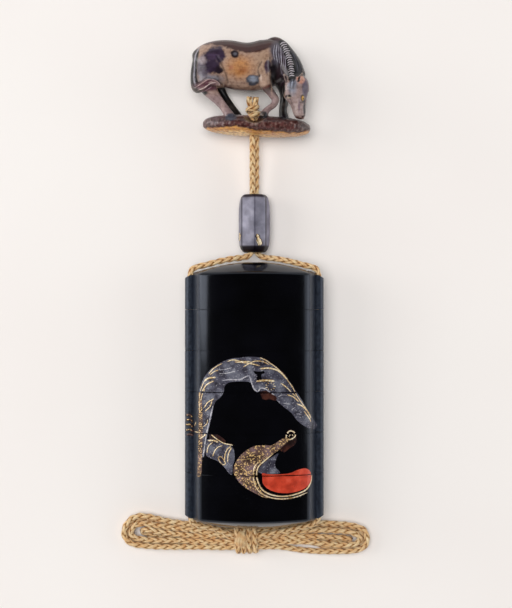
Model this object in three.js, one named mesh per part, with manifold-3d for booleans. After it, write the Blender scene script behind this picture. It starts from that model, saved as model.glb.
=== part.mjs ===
// An inro: a lacquered case of a lid and five stacked trays, worn on a silk cord with a sliding bead
// and a carved toggle (netsuke) of a grazing horse. It lies on its back on a table, laid out in a line:
// the case's front faces +Z, the toggle is at the +Y end and the tied slack of the cord at the -Y end.
// Millimetres, +Z up. Lengths along Y are first counted from the case's middle. The whole is then moved
// so that the origin is on the table, midway between the case's foot and the horse's back.

import * as THREE from "three";
import { mergeVertices } from "three/addons/utils/BufferGeometryUtils.js";
import Module from "manifold-3d";

const wasm = await Module();
wasm.setup();

// ---------- Driving dimensions ----------

// Case, across X, along Y and front to back in Z.
const LID_RIM = 42.45; // the front panel's upper edge, along Y
const FOOT_RIM = -43.9; // and its lower edge
const LID_LENGTH = 12.1; // the lid's straight wall
const TRAY_LENGTH = 14.65; // each of the four upper trays
const TRAYS = 5;
const SEAM = 0.2; // gap between one section and the next
const PANEL_HALF = 19.8; // half width of the bowed front panel, to its sharp edge
const BODY_HALF = 22; // half width at mid depth
const BODY_DEPTH = 24; // front to back, before the flat spot
const PANEL_BOW = 4.5; // how far the panel bows out beyond its sharp edges
const FLANK_HALF = 1.5; // half height of the upright strip at mid depth
const FLAT_SPOT = 0.25; // taken off the back's highest line, so the case lies still
const MID = BODY_DEPTH / 2 - FLAT_SPOT; // height of the case's mid depth over the table
const RIM_ROUND = 0.8; // small round at the lid's and bottom's rims
const LID_DOME = 4.3; // rise of the lid's top inside that round
const FOOT_DOME = 3; // the same on the bottom tray
const FLANK_RISE = 1.15; // the rims stand this much further out at the two narrow sides
const WALL = 1.2;
const RISER = 0.8; // thickness of the inner collar that a section slides onto
const RISER_GAP = 0.3;
const RISER_HEIGHT = 3.2;
const SKIRT = 3.6; // a tray's floor lies this far inside its lower edge
const FLOOR = 1.2;

// Cord runners, the tubes down the two narrow sides.
const RUNNER_X = 23;
const RUNNER_RADIUS = 2;
const RUNNER_BORE = 1.5;
const RUNNER_SIDES = 12;
const SHOULDER_ANGLE = 0.5; // the case's outer corners slope away by this many radians
const SHOULDER_RISE = 0.4; // and the slope crosses the runner's middle this far outside the rim
const CUTTER = 10; // size of the blocks that only cut, well clear of the runner

// Cord, bead and knots.
const CORD_RADIUS = 1; // of the plain tubes that stand for the 2.3 mm cord
const CORD_SIDES = 8;
const STRAND_STEPS = 48;
const STRAND_X = 0.675; // the two strands lie one over the other, this far from the middle
const STRAND_Z = 0.935;
const BEAD_LOW = 51.1; // ends of the bead along Y
const BEAD_HIGH = 72.3;
const BEAD_RADIUS = 5.8;
const BEAD_BORE = 2.6;
const BEAD_MOUTH = 3.6; // the bore flares to this at both ends
const BEAD_Z = 5.8;
const HANK_THICK = 4.4; // two layers of cord
const HANK_LEFT_END = -49.1; // ends of the hank along X
const HANK_RIGHT_END = 42.4;
const TIE_LEFT = -8.1; // the tie round the hank's waist, along X
const TIE_RIGHT = 0.7;
const TIE_LOW = -58.3; // and along Y
const TIE_HIGH = -49.5;
const TIE_THICK = 6.9;
const TIE_ROUND = 2; // its corners, seen along X
const TIE_BEVEL = 0.8; // its two ends
const TOUCH = 0.3; // gap where one cord solid meets the next

// Toggle, in its own frame: x towards the horse's head, y up its legs from the underside, z over the
// table. Its underside is this far from the case's middle.
const TOGGLE_Y = 93.8;
const HOLE_X = 0;
const HOLE_Z = 8.5;
const HOLE_RADIUS = 2.7;
const KNOT_RISE = 8.8; // middle of the stopping knot
const KNOT_END = 13.8; // and the cut ends of the cord above it

const lidSeam = LID_RIM - LID_LENGTH;

// ---------- Solids ----------

// A three.js geometry as a manifold-3d solid.
function solid(geometry) {
  const bare = new THREE.BufferGeometry().setAttribute(
    "position",
    (geometry.index ? geometry.toNonIndexed() : geometry).getAttribute("position"),
  );
  const merged = mergeVertices(bare, 1e-4);
  return new wasm.Manifold(
    new wasm.Mesh({
      numProp: 3,
      vertProperties: merged.attributes.position.array,
      triVerts: new Uint32Array(merged.index.array),
    }),
  );
}

// And back, with flat-shaded faces.
function geometryOf(manifold) {
  const { numProp, vertProperties, triVerts } = manifold.getMesh();
  const corners = [];
  for (const v of triVerts) corners.push(...vertProperties.subarray(v * numProp, v * numProp + 3));
  const geometry = new THREE.BufferGeometry();
  geometry.setAttribute("position", new THREE.Float32BufferAttribute(corners, 3));
  geometry.computeVertexNormals();
  return geometry;
}

// A closed skin over rings of equal length, with a point at each end.
function skin(rings, first, last) {
  const sides = rings[0].length;
  const points = [...rings.flat(), first, last];
  const faces = [];
  for (let r = 0; r + 1 < rings.length; r++)
    for (let i = 0; i < sides; i++) {
      const a = r * sides + i;
      const b = r * sides + ((i + 1) % sides);
      faces.push(a, b, b + sides, a, b + sides, a + sides);
    }
  const top = (rings.length - 1) * sides;
  for (let i = 0; i < sides; i++) {
    const next = (i + 1) % sides;
    faces.push(next, i, points.length - 2);
    faces.push(top + i, top + next, points.length - 1);
  }
  const geometry = new THREE.BufferGeometry().setFromPoints(points);
  geometry.setIndex(faces);
  const made = solid(geometry);
  if (made.volume() > 0) return made;
  geometry.index.array.reverse();
  return solid(geometry);
}

function mesh(name, manifold, material) {
  const made = new THREE.Mesh(geometryOf(manifold), material);
  made.name = name;
  return made;
}

// ---------- Materials ----------

const plain = (color, roughness, metalness = 0) =>
  new THREE.MeshStandardMaterial({ color, roughness, metalness });
const blackLacquer = plain(0x07070a, 0.12);
const stainedBoxwood = plain(0x7a4a2c, 0.35);
const darkMetal = plain(0x4a4d5e, 0.4, 0.8);
const silk = plain(0xcbb07c, 0.75);

// ---------- Case ----------

// The case's cross-section, as points over X and Z about mid depth: two bowed panels that meet
// narrow upright flanks at sharp edges. A negative grow gives the outline of a wall's inside.
function lens(grow = 0, panelSteps = 12, backSteps = 4) {
  const half = PANEL_HALF + grow;
  const body = BODY_HALF + grow;
  const edge = BODY_DEPTH / 2 - PANEL_BOW + grow;
  const radius = (half * half + PANEL_BOW * PANEL_BOW) / (2 * PANEL_BOW);
  const bow = (x) => edge + PANEL_BOW - radius + Math.sqrt(radius * radius - x * x);
  const flat = grow === 0 ? Math.sqrt(2 * radius * FLAT_SPOT - FLAT_SPOT * FLAT_SPOT) : half / 4;
  const outline = [];
  for (let i = 0; i <= panelSteps; i++) {
    const x = half - (2 * half * i) / panelSteps;
    outline.push([x, bow(x)]);
  }
  outline.push([-body, FLANK_HALF], [-body, -FLANK_HALF]);
  for (let i = 0; i <= backSteps; i++) {
    const x = -half + ((half - flat) * i) / backSteps;
    outline.push([x, -bow(x)]);
  }
  for (let i = backSteps; i >= 0; i--) {
    const x = half - ((half - flat) * i) / backSteps;
    outline.push([x, -bow(x)]);
  }
  outline.push([body, -FLANK_HALF], [body, FLANK_HALF]);
  return outline;
}

const axisPoint = (y) => new THREE.Vector3(0, y, MID);
const ring = (outline, y) => outline.map(([x, z]) => new THREE.Vector3(x, y, MID + z));

function prism(outline, low, high) {
  return skin([ring(outline, low), ring(outline, high)], axisPoint(low), axisPoint(high));
}

// A prism whose far end (direction +1 up, -1 down) swells into a dome. The rim is rounded along
// the two panels and stands FLANK_RISE further out at the two narrow sides.
function domed(outline, from, rim, direction, rise, round) {
  const rings = [ring(outline, from)];
  for (const [share, rounded] of [
    [1, 0],
    [0.985, 0.55],
    [0.95, 1],
    [0.83, 1],
    [0.62, 1],
    [0.34, 1],
  ]) {
    const inward = 1 - share * share;
    const panelLift = rounded * round + rise * inward;
    const flankLift = FLANK_RISE + (round + rise - FLANK_RISE) * inward;
    rings.push(
      outline.map(([x, z]) => {
        const lift = Math.abs(z) <= FLANK_HALF ? flankLift : panelLift;
        return new THREE.Vector3(x * share, rim + direction * lift, MID + z * share);
      }),
    );
  }
  return skin(rings, axisPoint(from), axisPoint(rim + direction * (round + rise)));
}

function alongY(radius, low, high, x, z, sides) {
  const geometry = new THREE.CylinderGeometry(radius, radius, high - low, sides);
  geometry.rotateY(Math.PI / sides);
  geometry.translate(x, (low + high) / 2, z);
  return solid(geometry);
}

// Adds both runner tubes to a section and bores them. At an end of the whole case (1 the lid's top,
// -1 the foot) they are cut to a slope.
function withRunners(section, low, high, slopeEnd = 0) {
  const runner = (radius, side, past) =>
    alongY(radius, low - past, high + past, side * RUNNER_X, MID, RUNNER_SIDES);
  let made = section;
  for (const side of [-1, 1]) {
    let tube = runner(RUNNER_RADIUS, side, 0);
    if (slopeEnd) {
      const cutter = new THREE.BoxGeometry(CUTTER, CUTTER, CUTTER);
      cutter.translate(0, CUTTER / 2, 0);
      cutter.rotateZ(-side * slopeEnd * SHOULDER_ANGLE + (slopeEnd < 0 ? Math.PI : 0));
      cutter.translate(side * RUNNER_X, slopeEnd > 0 ? high : low, MID);
      tube = tube.subtract(solid(cutter));
    }
    made = made.add(tube);
  }
  for (const side of [-1, 1]) made = made.subtract(runner(RUNNER_BORE, side, CUTTER));
  return made;
}

const collar = lens(-WALL - RISER_GAP, 6, 2);
const inside = lens(-WALL - RISER_GAP - RISER, 6, 2);
const socket = lens(-WALL, 6, 2);

function lid() {
  const low = lidSeam + SEAM;
  const outer = domed(lens(), low, LID_RIM, 1, LID_DOME, RIM_ROUND);
  const hollow = domed(socket, low - 1, LID_RIM - WALL, 1, LID_DOME, 0);
  return withRunners(outer.subtract(hollow), low, LID_RIM + SHOULDER_RISE, 1);
}

// A tray open at the top, with its collar standing up into the section above.
function tray(number) {
  const high = lidSeam - (number - 1) * TRAY_LENGTH;
  const last = number === TRAYS;
  const low = last ? FOOT_RIM : high - TRAY_LENGTH + SEAM;
  const outer = last ? domed(lens(), high, low, -1, FOOT_DOME, RIM_ROUND) : prism(lens(), low, high);
  const floorTop = last ? low + FLOOR : low + SKIRT + FLOOR;
  let made = outer
    .add(prism(collar, high - 1, high + RISER_HEIGHT))
    .subtract(prism(inside, floorTop, high + RISER_HEIGHT + 1));
  if (!last) made = made.subtract(prism(socket, low - 1, low + SKIRT));
  return withRunners(made, last ? low - SHOULDER_RISE : low, high, last ? -1 : 0);
}

// ---------- Bead ----------

// An eight-sided barrel with a wide bore for both strands.
function bead() {
  const length = BEAD_HIGH - BEAD_LOW;
  const profile = [
    [BEAD_BORE, -0.4],
    [BEAD_MOUTH, -0.49],
    [0.67 * BEAD_RADIUS, -0.5],
    [0.83 * BEAD_RADIUS, -0.455],
    [0.94 * BEAD_RADIUS, -0.36],
    [BEAD_RADIUS, -0.14],
    [BEAD_RADIUS, 0.14],
    [0.94 * BEAD_RADIUS, 0.36],
    [0.83 * BEAD_RADIUS, 0.455],
    [0.67 * BEAD_RADIUS, 0.5],
    [BEAD_MOUTH, 0.49],
    [BEAD_BORE, 0.4],
    [BEAD_BORE, -0.4],
  ].map(([r, share]) => new THREE.Vector2(r, share * length));
  const geometry = new THREE.LatheGeometry(profile, 8);
  geometry.rotateY(Math.PI / 8 / 8);
  geometry.translate(0, (BEAD_LOW + BEAD_HIGH) / 2, BEAD_Z);
  return solid(geometry);
}

// ---------- Toggle: a grazing horse on a mound, carved from one block ----------

// A limb through stations [x, y, z, half breadth in the XY plane, half breadth in depth].
function limb(stations, sides = 8, steps = 2 * stations.length) {
  const path = new THREE.CatmullRomCurve3(
    stations.map(([x, y, z]) => new THREE.Vector3(x, y, z)),
    false,
    "centripetal",
  );
  const breadth = (t, k) => {
    const at = t * (stations.length - 1);
    const i = Math.min(Math.floor(at), stations.length - 2);
    const ease = at - i;
    return stations[i][k] * (1 - ease) + stations[i + 1][k] * ease;
  };
  const rings = [];
  for (let n = 0; n <= steps; n++) {
    const t = n / steps;
    const centre = path.getPoint(t);
    const forward = path.getTangent(t);
    const across = new THREE.Vector3(-forward.y, forward.x, 0).normalize();
    const depth = new THREE.Vector3().crossVectors(forward, across);
    rings.push(
      Array.from({ length: sides }, (_, i) => {
        const angle = (2 * Math.PI * (i + 0.5)) / sides;
        return centre
          .clone()
          .addScaledVector(across, breadth(t, 3) * Math.cos(angle))
          .addScaledVector(depth, breadth(t, 4) * Math.sin(angle));
      }),
    );
  }
  const cap = (t, sign) =>
    path
      .getPoint(t)
      .addScaledVector(path.getTangent(t), sign * 0.6 * Math.min(breadth(t, 3), breadth(t, 4)));
  return skin(rings, cap(0, -1), cap(1, 1));
}

const TRUNK = [
  [-21.0, 23.4, 7.6, 3.0, 2.8],
  [-20.2, 23.8, 7.6, 5.4, 4.4],
  [-18.6, 24.6, 7.6, 7.1, 5.7],
  [-16.2, 25.3, 7.6, 8.1, 6.5],
  [-13.0, 25.7, 7.6, 8.6, 6.9],
  [-9.0, 25.7, 7.6, 8.6, 6.8],
  [-5.5, 24.9, 7.6, 8.8, 6.8],
  [-2.0, 24.6, 7.6, 8.9, 6.9],
  [1.5, 25.1, 7.6, 8.9, 6.9],
  [5.2, 26.3, 7.6, 8.8, 6.5],
  [8.0, 27.5, 7.6, 7.8, 5.8],
  [10.1, 28.1, 7.8, 6.1, 4.6],
  [11.4, 27.9, 8.0, 4.2, 3.2],
];
const NECK = [
  [6.5, 28.4, 7.7, 5.4, 5.2],
  [9.6, 27.2, 8.2, 5.1, 5.0],
  [11.8, 24.8, 9.4, 4.4, 4.5],
  [13.5, 22.1, 10.9, 4.0, 4.0],
  [14.7, 19.3, 12.2, 3.9, 3.5],
];
const HEAD = [
  [14.6, 20.4, 12.4, 2.8, 2.6],
  [14.9, 19.2, 12.8, 3.8, 3.4],
  [15.2, 17.2, 13.2, 4.3, 4.0],
  [15.4, 14.2, 13.4, 4.1, 3.9],
  [15.6, 11.4, 13.5, 3.2, 3.2],
  [15.9, 9.0, 13.5, 2.5, 2.5],
  [16.3, 7.2, 13.4, 2.3, 2.2],
  [16.7, 5.7, 13.2, 1.7, 1.7],
];
const NEAR_HIND = [
  [-16.2, 22.5, 10.4, 4.8, 3.6],
  [-16.8, 19.6, 10.7, 4.2, 3.7],
  [-16.6, 17.0, 11.1, 3.3, 3.1],
  [-15.2, 14.5, 11.7, 2.4, 2.3],
  [-13.2, 12.1, 12.1, 1.75, 1.75],
  [-11.2, 9.7, 12.3, 1.5, 1.5],
  [-9.9, 7.8, 12.4, 1.55, 1.6],
  [-9.2, 6.5, 12.5, 1.95, 1.95],
  [-8.7, 5.0, 12.6, 2.2, 2.2],
];
const FAR_HIND = [
  [-14.6, 20.0, 4.9, 4.0, 3.4],
  [-13.2, 16.7, 4.5, 2.7, 2.6],
  [-11.1, 13.8, 4.1, 1.8, 1.8],
  [-8.9, 11.1, 3.8, 1.5, 1.5],
  [-7.1, 8.8, 3.7, 1.4, 1.4],
  [-6.1, 7.2, 3.6, 1.7, 1.7],
  [-5.6, 5.4, 3.6, 1.9, 1.9],
];
const NEAR_FORE = [
  [4.6, 23.5, 10.4, 3.8, 3.6],
  [3.7, 19.6, 11.4, 2.7, 2.8],
  [4.5, 16.7, 12.0, 1.8, 2.0],
  [6.2, 14.2, 12.3, 1.4, 1.5],
  [7.6, 12.1, 12.5, 1.4, 1.5],
  [6.9, 10.2, 12.5, 1.15, 1.2],
  [5.0, 8.8, 12.4, 1.05, 1.1],
  [4.0, 7.7, 12.4, 1.3, 1.35],
  [3.1, 6.1, 12.4, 1.7, 1.75],
];
const FAR_FORE = [
  [8.4, 22.0, 5.6, 3.0, 3.0],
  [10.4, 17.6, 4.9, 2.0, 2.3],
  [11.0, 14.4, 4.4, 1.6, 1.7],
  [10.7, 11.6, 4.2, 1.6, 1.7],
  [10.4, 9.2, 4.1, 1.4, 1.4],
  [10.7, 7.2, 4.0, 1.7, 1.6],
  [11.0, 5.0, 4.0, 2.1, 2.0],
];
const TAIL = [
  [-18.4, 31.6, 7.6, 0.9, 1.2],
  [-20.6, 28.8, 7.8, 1.2, 1.7],
  [-21.5, 24.6, 8.4, 1.3, 2.1],
  [-21.6, 20.0, 9.8, 1.5, 2.2],
  [-20.7, 16.3, 12.0, 1.8, 2.0],
  [-18.8, 16.6, 14.0, 1.6, 1.2],
  [-16.7, 18.1, 14.7, 1.3, 0.9],
  [-14.4, 17.9, 14.6, 1.1, 0.8],
  [-12.4, 17.1, 14.0, 0.5, 0.5],
];
const EARS = [
  [
    [12.0, 18.8, 14.9, 1.3, 0.9],
    [11.2, 20.0, 15.6, 1.0, 0.8],
    [10.6, 21.2, 16.1, 0.35, 0.35],
  ],
  [
    [17.2, 18.9, 15.0, 1.2, 0.9],
    [17.4, 20.4, 15.8, 1.1, 0.8],
    [17.4, 22.0, 16.3, 0.35, 0.35],
  ],
];
// The mane's cut tufts lie in a row down the near side of the neck.
const MANE_LINE = [
  [9.9, 32.9, 9.5],
  [11.5, 30.6, 11.1],
  [13.0, 27.8, 12.6],
  [13.8, 24.8, 14.0],
  [13.7, 21.9, 14.7],
];
const MANE_TUFTS = 12;
const TUFT_HALF = 1.3;
const TUFT_THICK = 0.42;

function mane() {
  const line = new THREE.CatmullRomCurve3(MANE_LINE.map((p) => new THREE.Vector3(...p)));
  const tufts = [];
  for (let n = 0; n < MANE_TUFTS; n++) {
    const t = (n + 0.5) / MANE_TUFTS;
    const centre = line.getPointAt(t);
    const along = line.getTangentAt(t);
    const across = new THREE.Vector3(-along.y, along.x, 0).normalize();
    const out = new THREE.Vector3().crossVectors(across, along).normalize();
    const frame = new THREE.Matrix4().makeBasis(across, along, out).setPosition(centre);
    const tuft = new THREE.SphereGeometry(1, 6, 3);
    tuft.scale(TUFT_HALF, TUFT_THICK, 0.9).applyMatrix4(frame);
    tufts.push(solid(tuft));
  }
  return tufts;
}

// The mound: a blunt-ended slab, a little domed on top, that slopes down towards the horse's head.
const MOUND_HALF = 19.5;
const MOUND_MID_X = 0.8;
const MOUND_MID_Y = 2.9;
const MOUND_TOP = 3.9;
const MOUND_UNDER = 3.6;
const MOUND_DEPTH = 8.5;
const MOUND_TILT = -0.045;
const MOUND_BLUNT = 2.7; // power of the superellipse seen from the side; 2 is a plain ellipse

function mound() {
  const geometry = new THREE.SphereGeometry(1, 24, 10);
  const place = geometry.getAttribute("position");
  for (let i = 0; i < place.count; i++) {
    const x = place.getX(i);
    const y = place.getY(i);
    const radius = Math.hypot(x, y);
    const power = Math.abs(x) ** MOUND_BLUNT + Math.abs(y) ** MOUND_BLUNT;
    const swell = radius > 0 ? radius / power ** (1 / MOUND_BLUNT) : 1;
    place.setX(i, x * swell);
    place.setY(i, y * swell * (y > 0 ? MOUND_TOP : MOUND_UNDER));
  }
  geometry.scale(MOUND_HALF, 1, MOUND_DEPTH).rotateZ(MOUND_TILT);
  geometry.translate(MOUND_MID_X, MOUND_MID_Y, MOUND_DEPTH);
  return solid(geometry);
}

function toggle() {
  const parts = [
    limb(TRUNK, 14, 15),
    limb(NECK, 12, 6),
    limb(HEAD, 10, 9),
    limb(NEAR_HIND, 8, 11),
    limb(FAR_HIND, 8, 8),
    limb(NEAR_FORE, 8, 12),
    limb(FAR_FORE, 8, 8),
    limb(TAIL, 6, 14),
    ...EARS.map((ear) => limb(ear, 6, 3)),
    ...mane(),
  ];
  const horse = parts.reduce((whole, part) => whole.add(part));
  const hole = alongY(HOLE_RADIUS, -8, 12, HOLE_X, HOLE_Z, 10);
  const carved = horse.add(mound().subtract(hole));
  return carved.translate([0, TOGGLE_Y, 0]);
}

// ---------- Cord ----------

// The way of the strand on one side (-1 left, 1 right), from under the toggle's knot, through the
// bead, over the lid, down the runner and in to the tie. Half the strands lie over, half under.
function strandRoute(side) {
  const x = side * STRAND_X;
  const z = -side * STRAND_Z;
  return [
    [x, TOGGLE_Y + 5.4, HOLE_Z + z],
    [x, 91, HOLE_Z + z - 0.2],
    [x, 82, 7.1 + z],
    [x, 73, BEAD_Z + z],
    [x, 62, BEAD_Z + z],
    [x, 53.5, BEAD_Z + z],
    [side * 1.0, 51.4, BEAD_Z + 1.05 * z],
    [side * 2.1, 49.9, 6.4 + z],
    [side * 4.4, 49.1, 7.6 + 0.7 * z],
    [side * 7.4, 48.7, 9.6 + 0.3 * z],
    [side * 11, 48, 11.2],
    [side * 14.6, 47.1, 11.7],
    [side * 18, 46.2, MID],
    [side * 20.7, 45.6, MID],
    [side * 22.7, 44.6, MID],
    [side * RUNNER_X, 42.6, MID],
    [side * RUNNER_X, 20, MID],
    [side * RUNNER_X, 0, MID],
    [side * RUNNER_X, -20, MID],
    [side * RUNNER_X, -43.4, MID],
    [side * RUNNER_X, -45.6, 11.3],
    [side * 21.7, -47.3, 10.4],
    [side * 18.4, -48.1, 9],
    [side * 14.4, -49.1, 7.6],
    ...(side < 0
      ? [
          [-11, -50.4, 6.5],
          [TIE_LEFT - TOUCH, -51.4, 5.9],
        ]
      : [
          [9, -50.4, 6.4],
          [5, -51.2, 5.95],
          [TIE_RIGHT + TOUCH, -51.8, 5.9],
        ]),
  ];
}

function strand(side) {
  const path = new THREE.CatmullRomCurve3(
    strandRoute(side).map((p) => new THREE.Vector3(...p)),
    false,
    "centripetal",
  );
  const section = new THREE.Shape(
    Array.from({ length: CORD_SIDES }, (_, i) => {
      const angle = (2 * Math.PI * i) / CORD_SIDES;
      return new THREE.Vector2(CORD_RADIUS * Math.cos(angle), CORD_RADIUS * Math.sin(angle));
    }),
  );
  return solid(
    new THREE.ExtrudeGeometry(section, {
      steps: STRAND_STEPS,
      extrudePath: path,
      bevelEnabled: false,
    }),
  );
}

// One lobe of the hank: a round far end that narrows to the waist where the tie grips it.
function lobe(inner, outer, [farTop, farBottom], [waistTop, waistBottom]) {
  const side = Math.sign(outer - inner);
  const round = (farTop - farBottom) / 2;
  const end = outer - side * round;
  const outline = new THREE.Shape();
  outline.moveTo(inner, waistBottom);
  outline.bezierCurveTo(inner + side * 9, waistBottom, end - side * 18, farBottom, end, farBottom);
  outline.absarc(end, farTop - round, round, -Math.PI / 2, Math.PI / 2, side < 0);
  outline.bezierCurveTo(end - side * 18, farTop, inner + side * 9, waistTop, inner, waistTop);
  return solid(
    new THREE.ExtrudeGeometry(outline, { depth: HANK_THICK, bevelEnabled: false, curveSegments: 8 }),
  );
}

// The tie: the cord's own wraps round the hank's waist, as a rounded block.
function tie() {
  const outline = new THREE.Shape();
  outline.moveTo(TIE_LOW, TIE_ROUND);
  outline.quadraticCurveTo(TIE_LOW, 0, TIE_LOW + TIE_ROUND, 0);
  outline.lineTo(TIE_HIGH - TIE_ROUND, 0);
  outline.quadraticCurveTo(TIE_HIGH, 0, TIE_HIGH, TIE_ROUND);
  outline.lineTo(TIE_HIGH, TIE_THICK - TIE_ROUND);
  outline.quadraticCurveTo(TIE_HIGH, TIE_THICK, TIE_HIGH - TIE_ROUND, TIE_THICK);
  outline.lineTo(TIE_LOW + TIE_ROUND, TIE_THICK);
  outline.quadraticCurveTo(TIE_LOW, TIE_THICK, TIE_LOW, TIE_THICK - TIE_ROUND);
  const geometry = new THREE.ExtrudeGeometry(outline, {
    depth: TIE_RIGHT - TIE_LEFT - 2 * TIE_BEVEL,
    bevelSize: TIE_BEVEL,
    bevelOffset: -TIE_BEVEL,
    bevelThickness: TIE_BEVEL,
    bevelSegments: 2,
    curveSegments: 4,
  });
  const outlineAcrossX = new THREE.Matrix4().makeBasis(
    new THREE.Vector3(0, 1, 0),
    new THREE.Vector3(0, 0, 1),
    new THREE.Vector3(1, 0, 0),
  );
  geometry.applyMatrix4(outlineAcrossX).translate(TIE_LEFT + TIE_BEVEL, 0, 0);
  return solid(geometry);
}

// The knot that stops both strands over the mound, with their two cut ends.
function stopKnot() {
  const lump = new THREE.SphereGeometry(1, 12, 7);
  lump.scale(2.6, 2.8, 2.6).translate(-0.4, TOGGLE_Y + KNOT_RISE, HOLE_Z);
  let made = solid(lump);
  for (const [x, z] of [
    [-1.6, 0.2],
    [0.5, -0.2],
  ])
    made = made.add(
      alongY(CORD_RADIUS, TOGGLE_Y + KNOT_RISE, TOGGLE_Y + KNOT_END, x, HOLE_Z + z, CORD_SIDES),
    );
  return made;
}

// ---------- The whole object ----------

const footTray = tray(TRAYS);
const horse = toggle();
const lengthMiddle = (footTray.boundingBox().min[1] + horse.boundingBox().max[1]) / 2;

const inro = new THREE.Group();
inro.name = "inro";
inro.position.y = -lengthMiddle;
inro.add(mesh("lid", lid(), blackLacquer));
for (let number = 1; number < TRAYS; number++)
  inro.add(mesh(`tray_${number}`, tray(number), blackLacquer));
inro.add(mesh(`tray_${TRAYS}`, footTray, blackLacquer));
inro.add(mesh("bead", bead(), darkMetal));
inro.add(mesh("toggle", horse, stainedBoxwood));
inro.add(mesh("cord_left", strand(-1), silk));
inro.add(mesh("cord_right", strand(1), silk));
inro.add(mesh("cord_knot", stopKnot(), silk));
inro.add(mesh("cord_tie", tie(), silk));
inro.add(mesh("hank_left", lobe(TIE_LEFT - TOUCH, HANK_LEFT_END, [-43.4, -57.1], [-49.8, -57.8]), silk));
inro.add(mesh("hank_right", lobe(TIE_RIGHT + TOUCH, HANK_RIGHT_END, [-46.4, -59.3], [-49.8, -57.4]), silk));

const object = new THREE.Group();
object.add(inro);

export default object;
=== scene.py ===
import math

import bmesh
import bpy
import numpy as np
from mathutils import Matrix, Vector, noise
from mathutils.bvhtree import BVHTree


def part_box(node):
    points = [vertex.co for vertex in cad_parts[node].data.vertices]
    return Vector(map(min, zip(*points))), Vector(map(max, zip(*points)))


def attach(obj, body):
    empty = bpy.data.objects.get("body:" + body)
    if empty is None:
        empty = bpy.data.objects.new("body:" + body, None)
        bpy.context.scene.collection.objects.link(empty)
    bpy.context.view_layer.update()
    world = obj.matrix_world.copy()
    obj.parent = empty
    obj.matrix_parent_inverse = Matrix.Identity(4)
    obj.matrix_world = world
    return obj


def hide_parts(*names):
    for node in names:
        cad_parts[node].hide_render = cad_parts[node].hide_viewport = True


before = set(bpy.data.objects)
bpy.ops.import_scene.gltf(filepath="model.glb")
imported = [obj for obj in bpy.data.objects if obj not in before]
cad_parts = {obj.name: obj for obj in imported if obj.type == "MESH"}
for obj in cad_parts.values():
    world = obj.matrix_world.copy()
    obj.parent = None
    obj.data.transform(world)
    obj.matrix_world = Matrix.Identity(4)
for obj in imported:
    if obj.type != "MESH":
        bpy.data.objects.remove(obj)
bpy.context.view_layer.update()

# ---- Place of the object ----------------------------------------------------------------
# The inro lies on its back with its front up. Every piece is drawn in millimetres about the
# case's middle, and set into the frame, in metres, by the foot tray's own lowest point.

MM = 0.001
FOOT_END = -47.7  # the foot's lowest point along Y, from the case's middle
case_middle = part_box("tray_5")[0].y - FOOT_END * MM


def to_frame(points):
    """Points in the frame, in metres, from millimetres about the case's middle."""
    placed = np.array(points, float) * MM
    placed[..., 1] += case_middle
    return placed


# ---- Camera, table and light ------------------------------------------------------------
# A camera straight over the object, a pale table, and soft lights from the sides, so that
# the black front mirrors the dark above it while the slopes at its edges pick up the lights.

CAMERA_HEIGHT = 0.55
PICTURE_HEIGHT = 0.2189  # what the camera sees along Y, 12 mm over the table

sight = bpy.data.cameras.new("camera")
sight.sensor_width = 36
sight.lens = 36 * (CAMERA_HEIGHT - 0.012) / PICTURE_HEIGHT
camera = bpy.data.objects.new("camera", sight)
bpy.context.scene.collection.objects.link(camera)
camera.location = (0.0006, case_middle + 0.0324, CAMERA_HEIGHT)
bpy.context.scene.camera = camera


def linear(code):
    """The linear colour of a six-digit sRGB hex code."""
    shares = [int(code[i : i + 2], 16) / 255 for i in (0, 2, 4)]
    return (*[s / 12.92 if s < 0.04045 else ((s + 0.055) / 1.055) ** 2.4 for s in shares], 1)


def add(tree, kind, inputs=None, stops=None, out=0, **settings):
    """Adds a shader node with its settings, inputs and colour stops, and gives one output."""
    new = tree.nodes.new("ShaderNode" + kind)
    for name, value in settings.items():
        setattr(new, name, value)
    for key, value in (inputs or {}).items():
        if isinstance(value, bpy.types.NodeSocket):
            tree.links.new(value, new.inputs[key])
        else:
            new.inputs[key].default_value = value
    for n, (place, shade) in enumerate(stops or []):
        stop = new.color_ramp.elements[n] if n < 2 else new.color_ramp.elements.new(place)
        stop.position = place
        stop.color = linear(shade) if isinstance(shade, str) else (shade, shade, shade, 1)
    return new.outputs[out] if new.outputs else None


def material(name):
    """An empty node material, and its tree."""
    made = bpy.data.materials.new(name)
    made.use_nodes = True
    made.node_tree.nodes.clear()
    return made, made.node_tree


bpy.ops.object.select_all(action="DESELECT")
bpy.ops.mesh.primitive_plane_add(size=3, location=(0, 0, -0.0002))
table = bpy.context.object
table.name = "table"
# Matt paper: next to white, a little warm, with the faintest cloudiness.
paper, tree = material("matt_paper")
where = add(tree, "TexCoord", out="Object")
mottle = add(tree, "TexNoise", {"Vector": where, "Scale": 9.0, "Detail": 2.0})
tone = add(tree, "ValToRGB", {"Fac": mottle}, [(0.35, "F2ECE8"), (0.65, "F4EFEB")])
shader = add(tree, "BsdfPrincipled", {"Base Color": tone, "Roughness": 0.9})
add(tree, "OutputMaterial", {"Surface": shader})
table.data.materials.append(paper)

# A dark ceiling over a pale band round the room: the lacquer mirrors the one from its flat
# front and the other from its edges.
world = bpy.data.worlds.new("studio")
bpy.context.scene.world = world
bpy.context.scene.view_settings.view_transform = "Standard"
world.use_nodes = True
tree = world.node_tree
height = add(tree, "SeparateXYZ", {"Vector": add(tree, "TexCoord", out="Generated")}, out="Z")
band = add(
    tree,
    "ValToRGB",
    {"Fac": height},
    [(0.0, 0.8), (0.48, 0.7), (0.62, 0.08), (0.72, 0.012), (1.0, 0.004)],
)
tree.links.new(band, tree.nodes["Background"].inputs["Color"])


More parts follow.
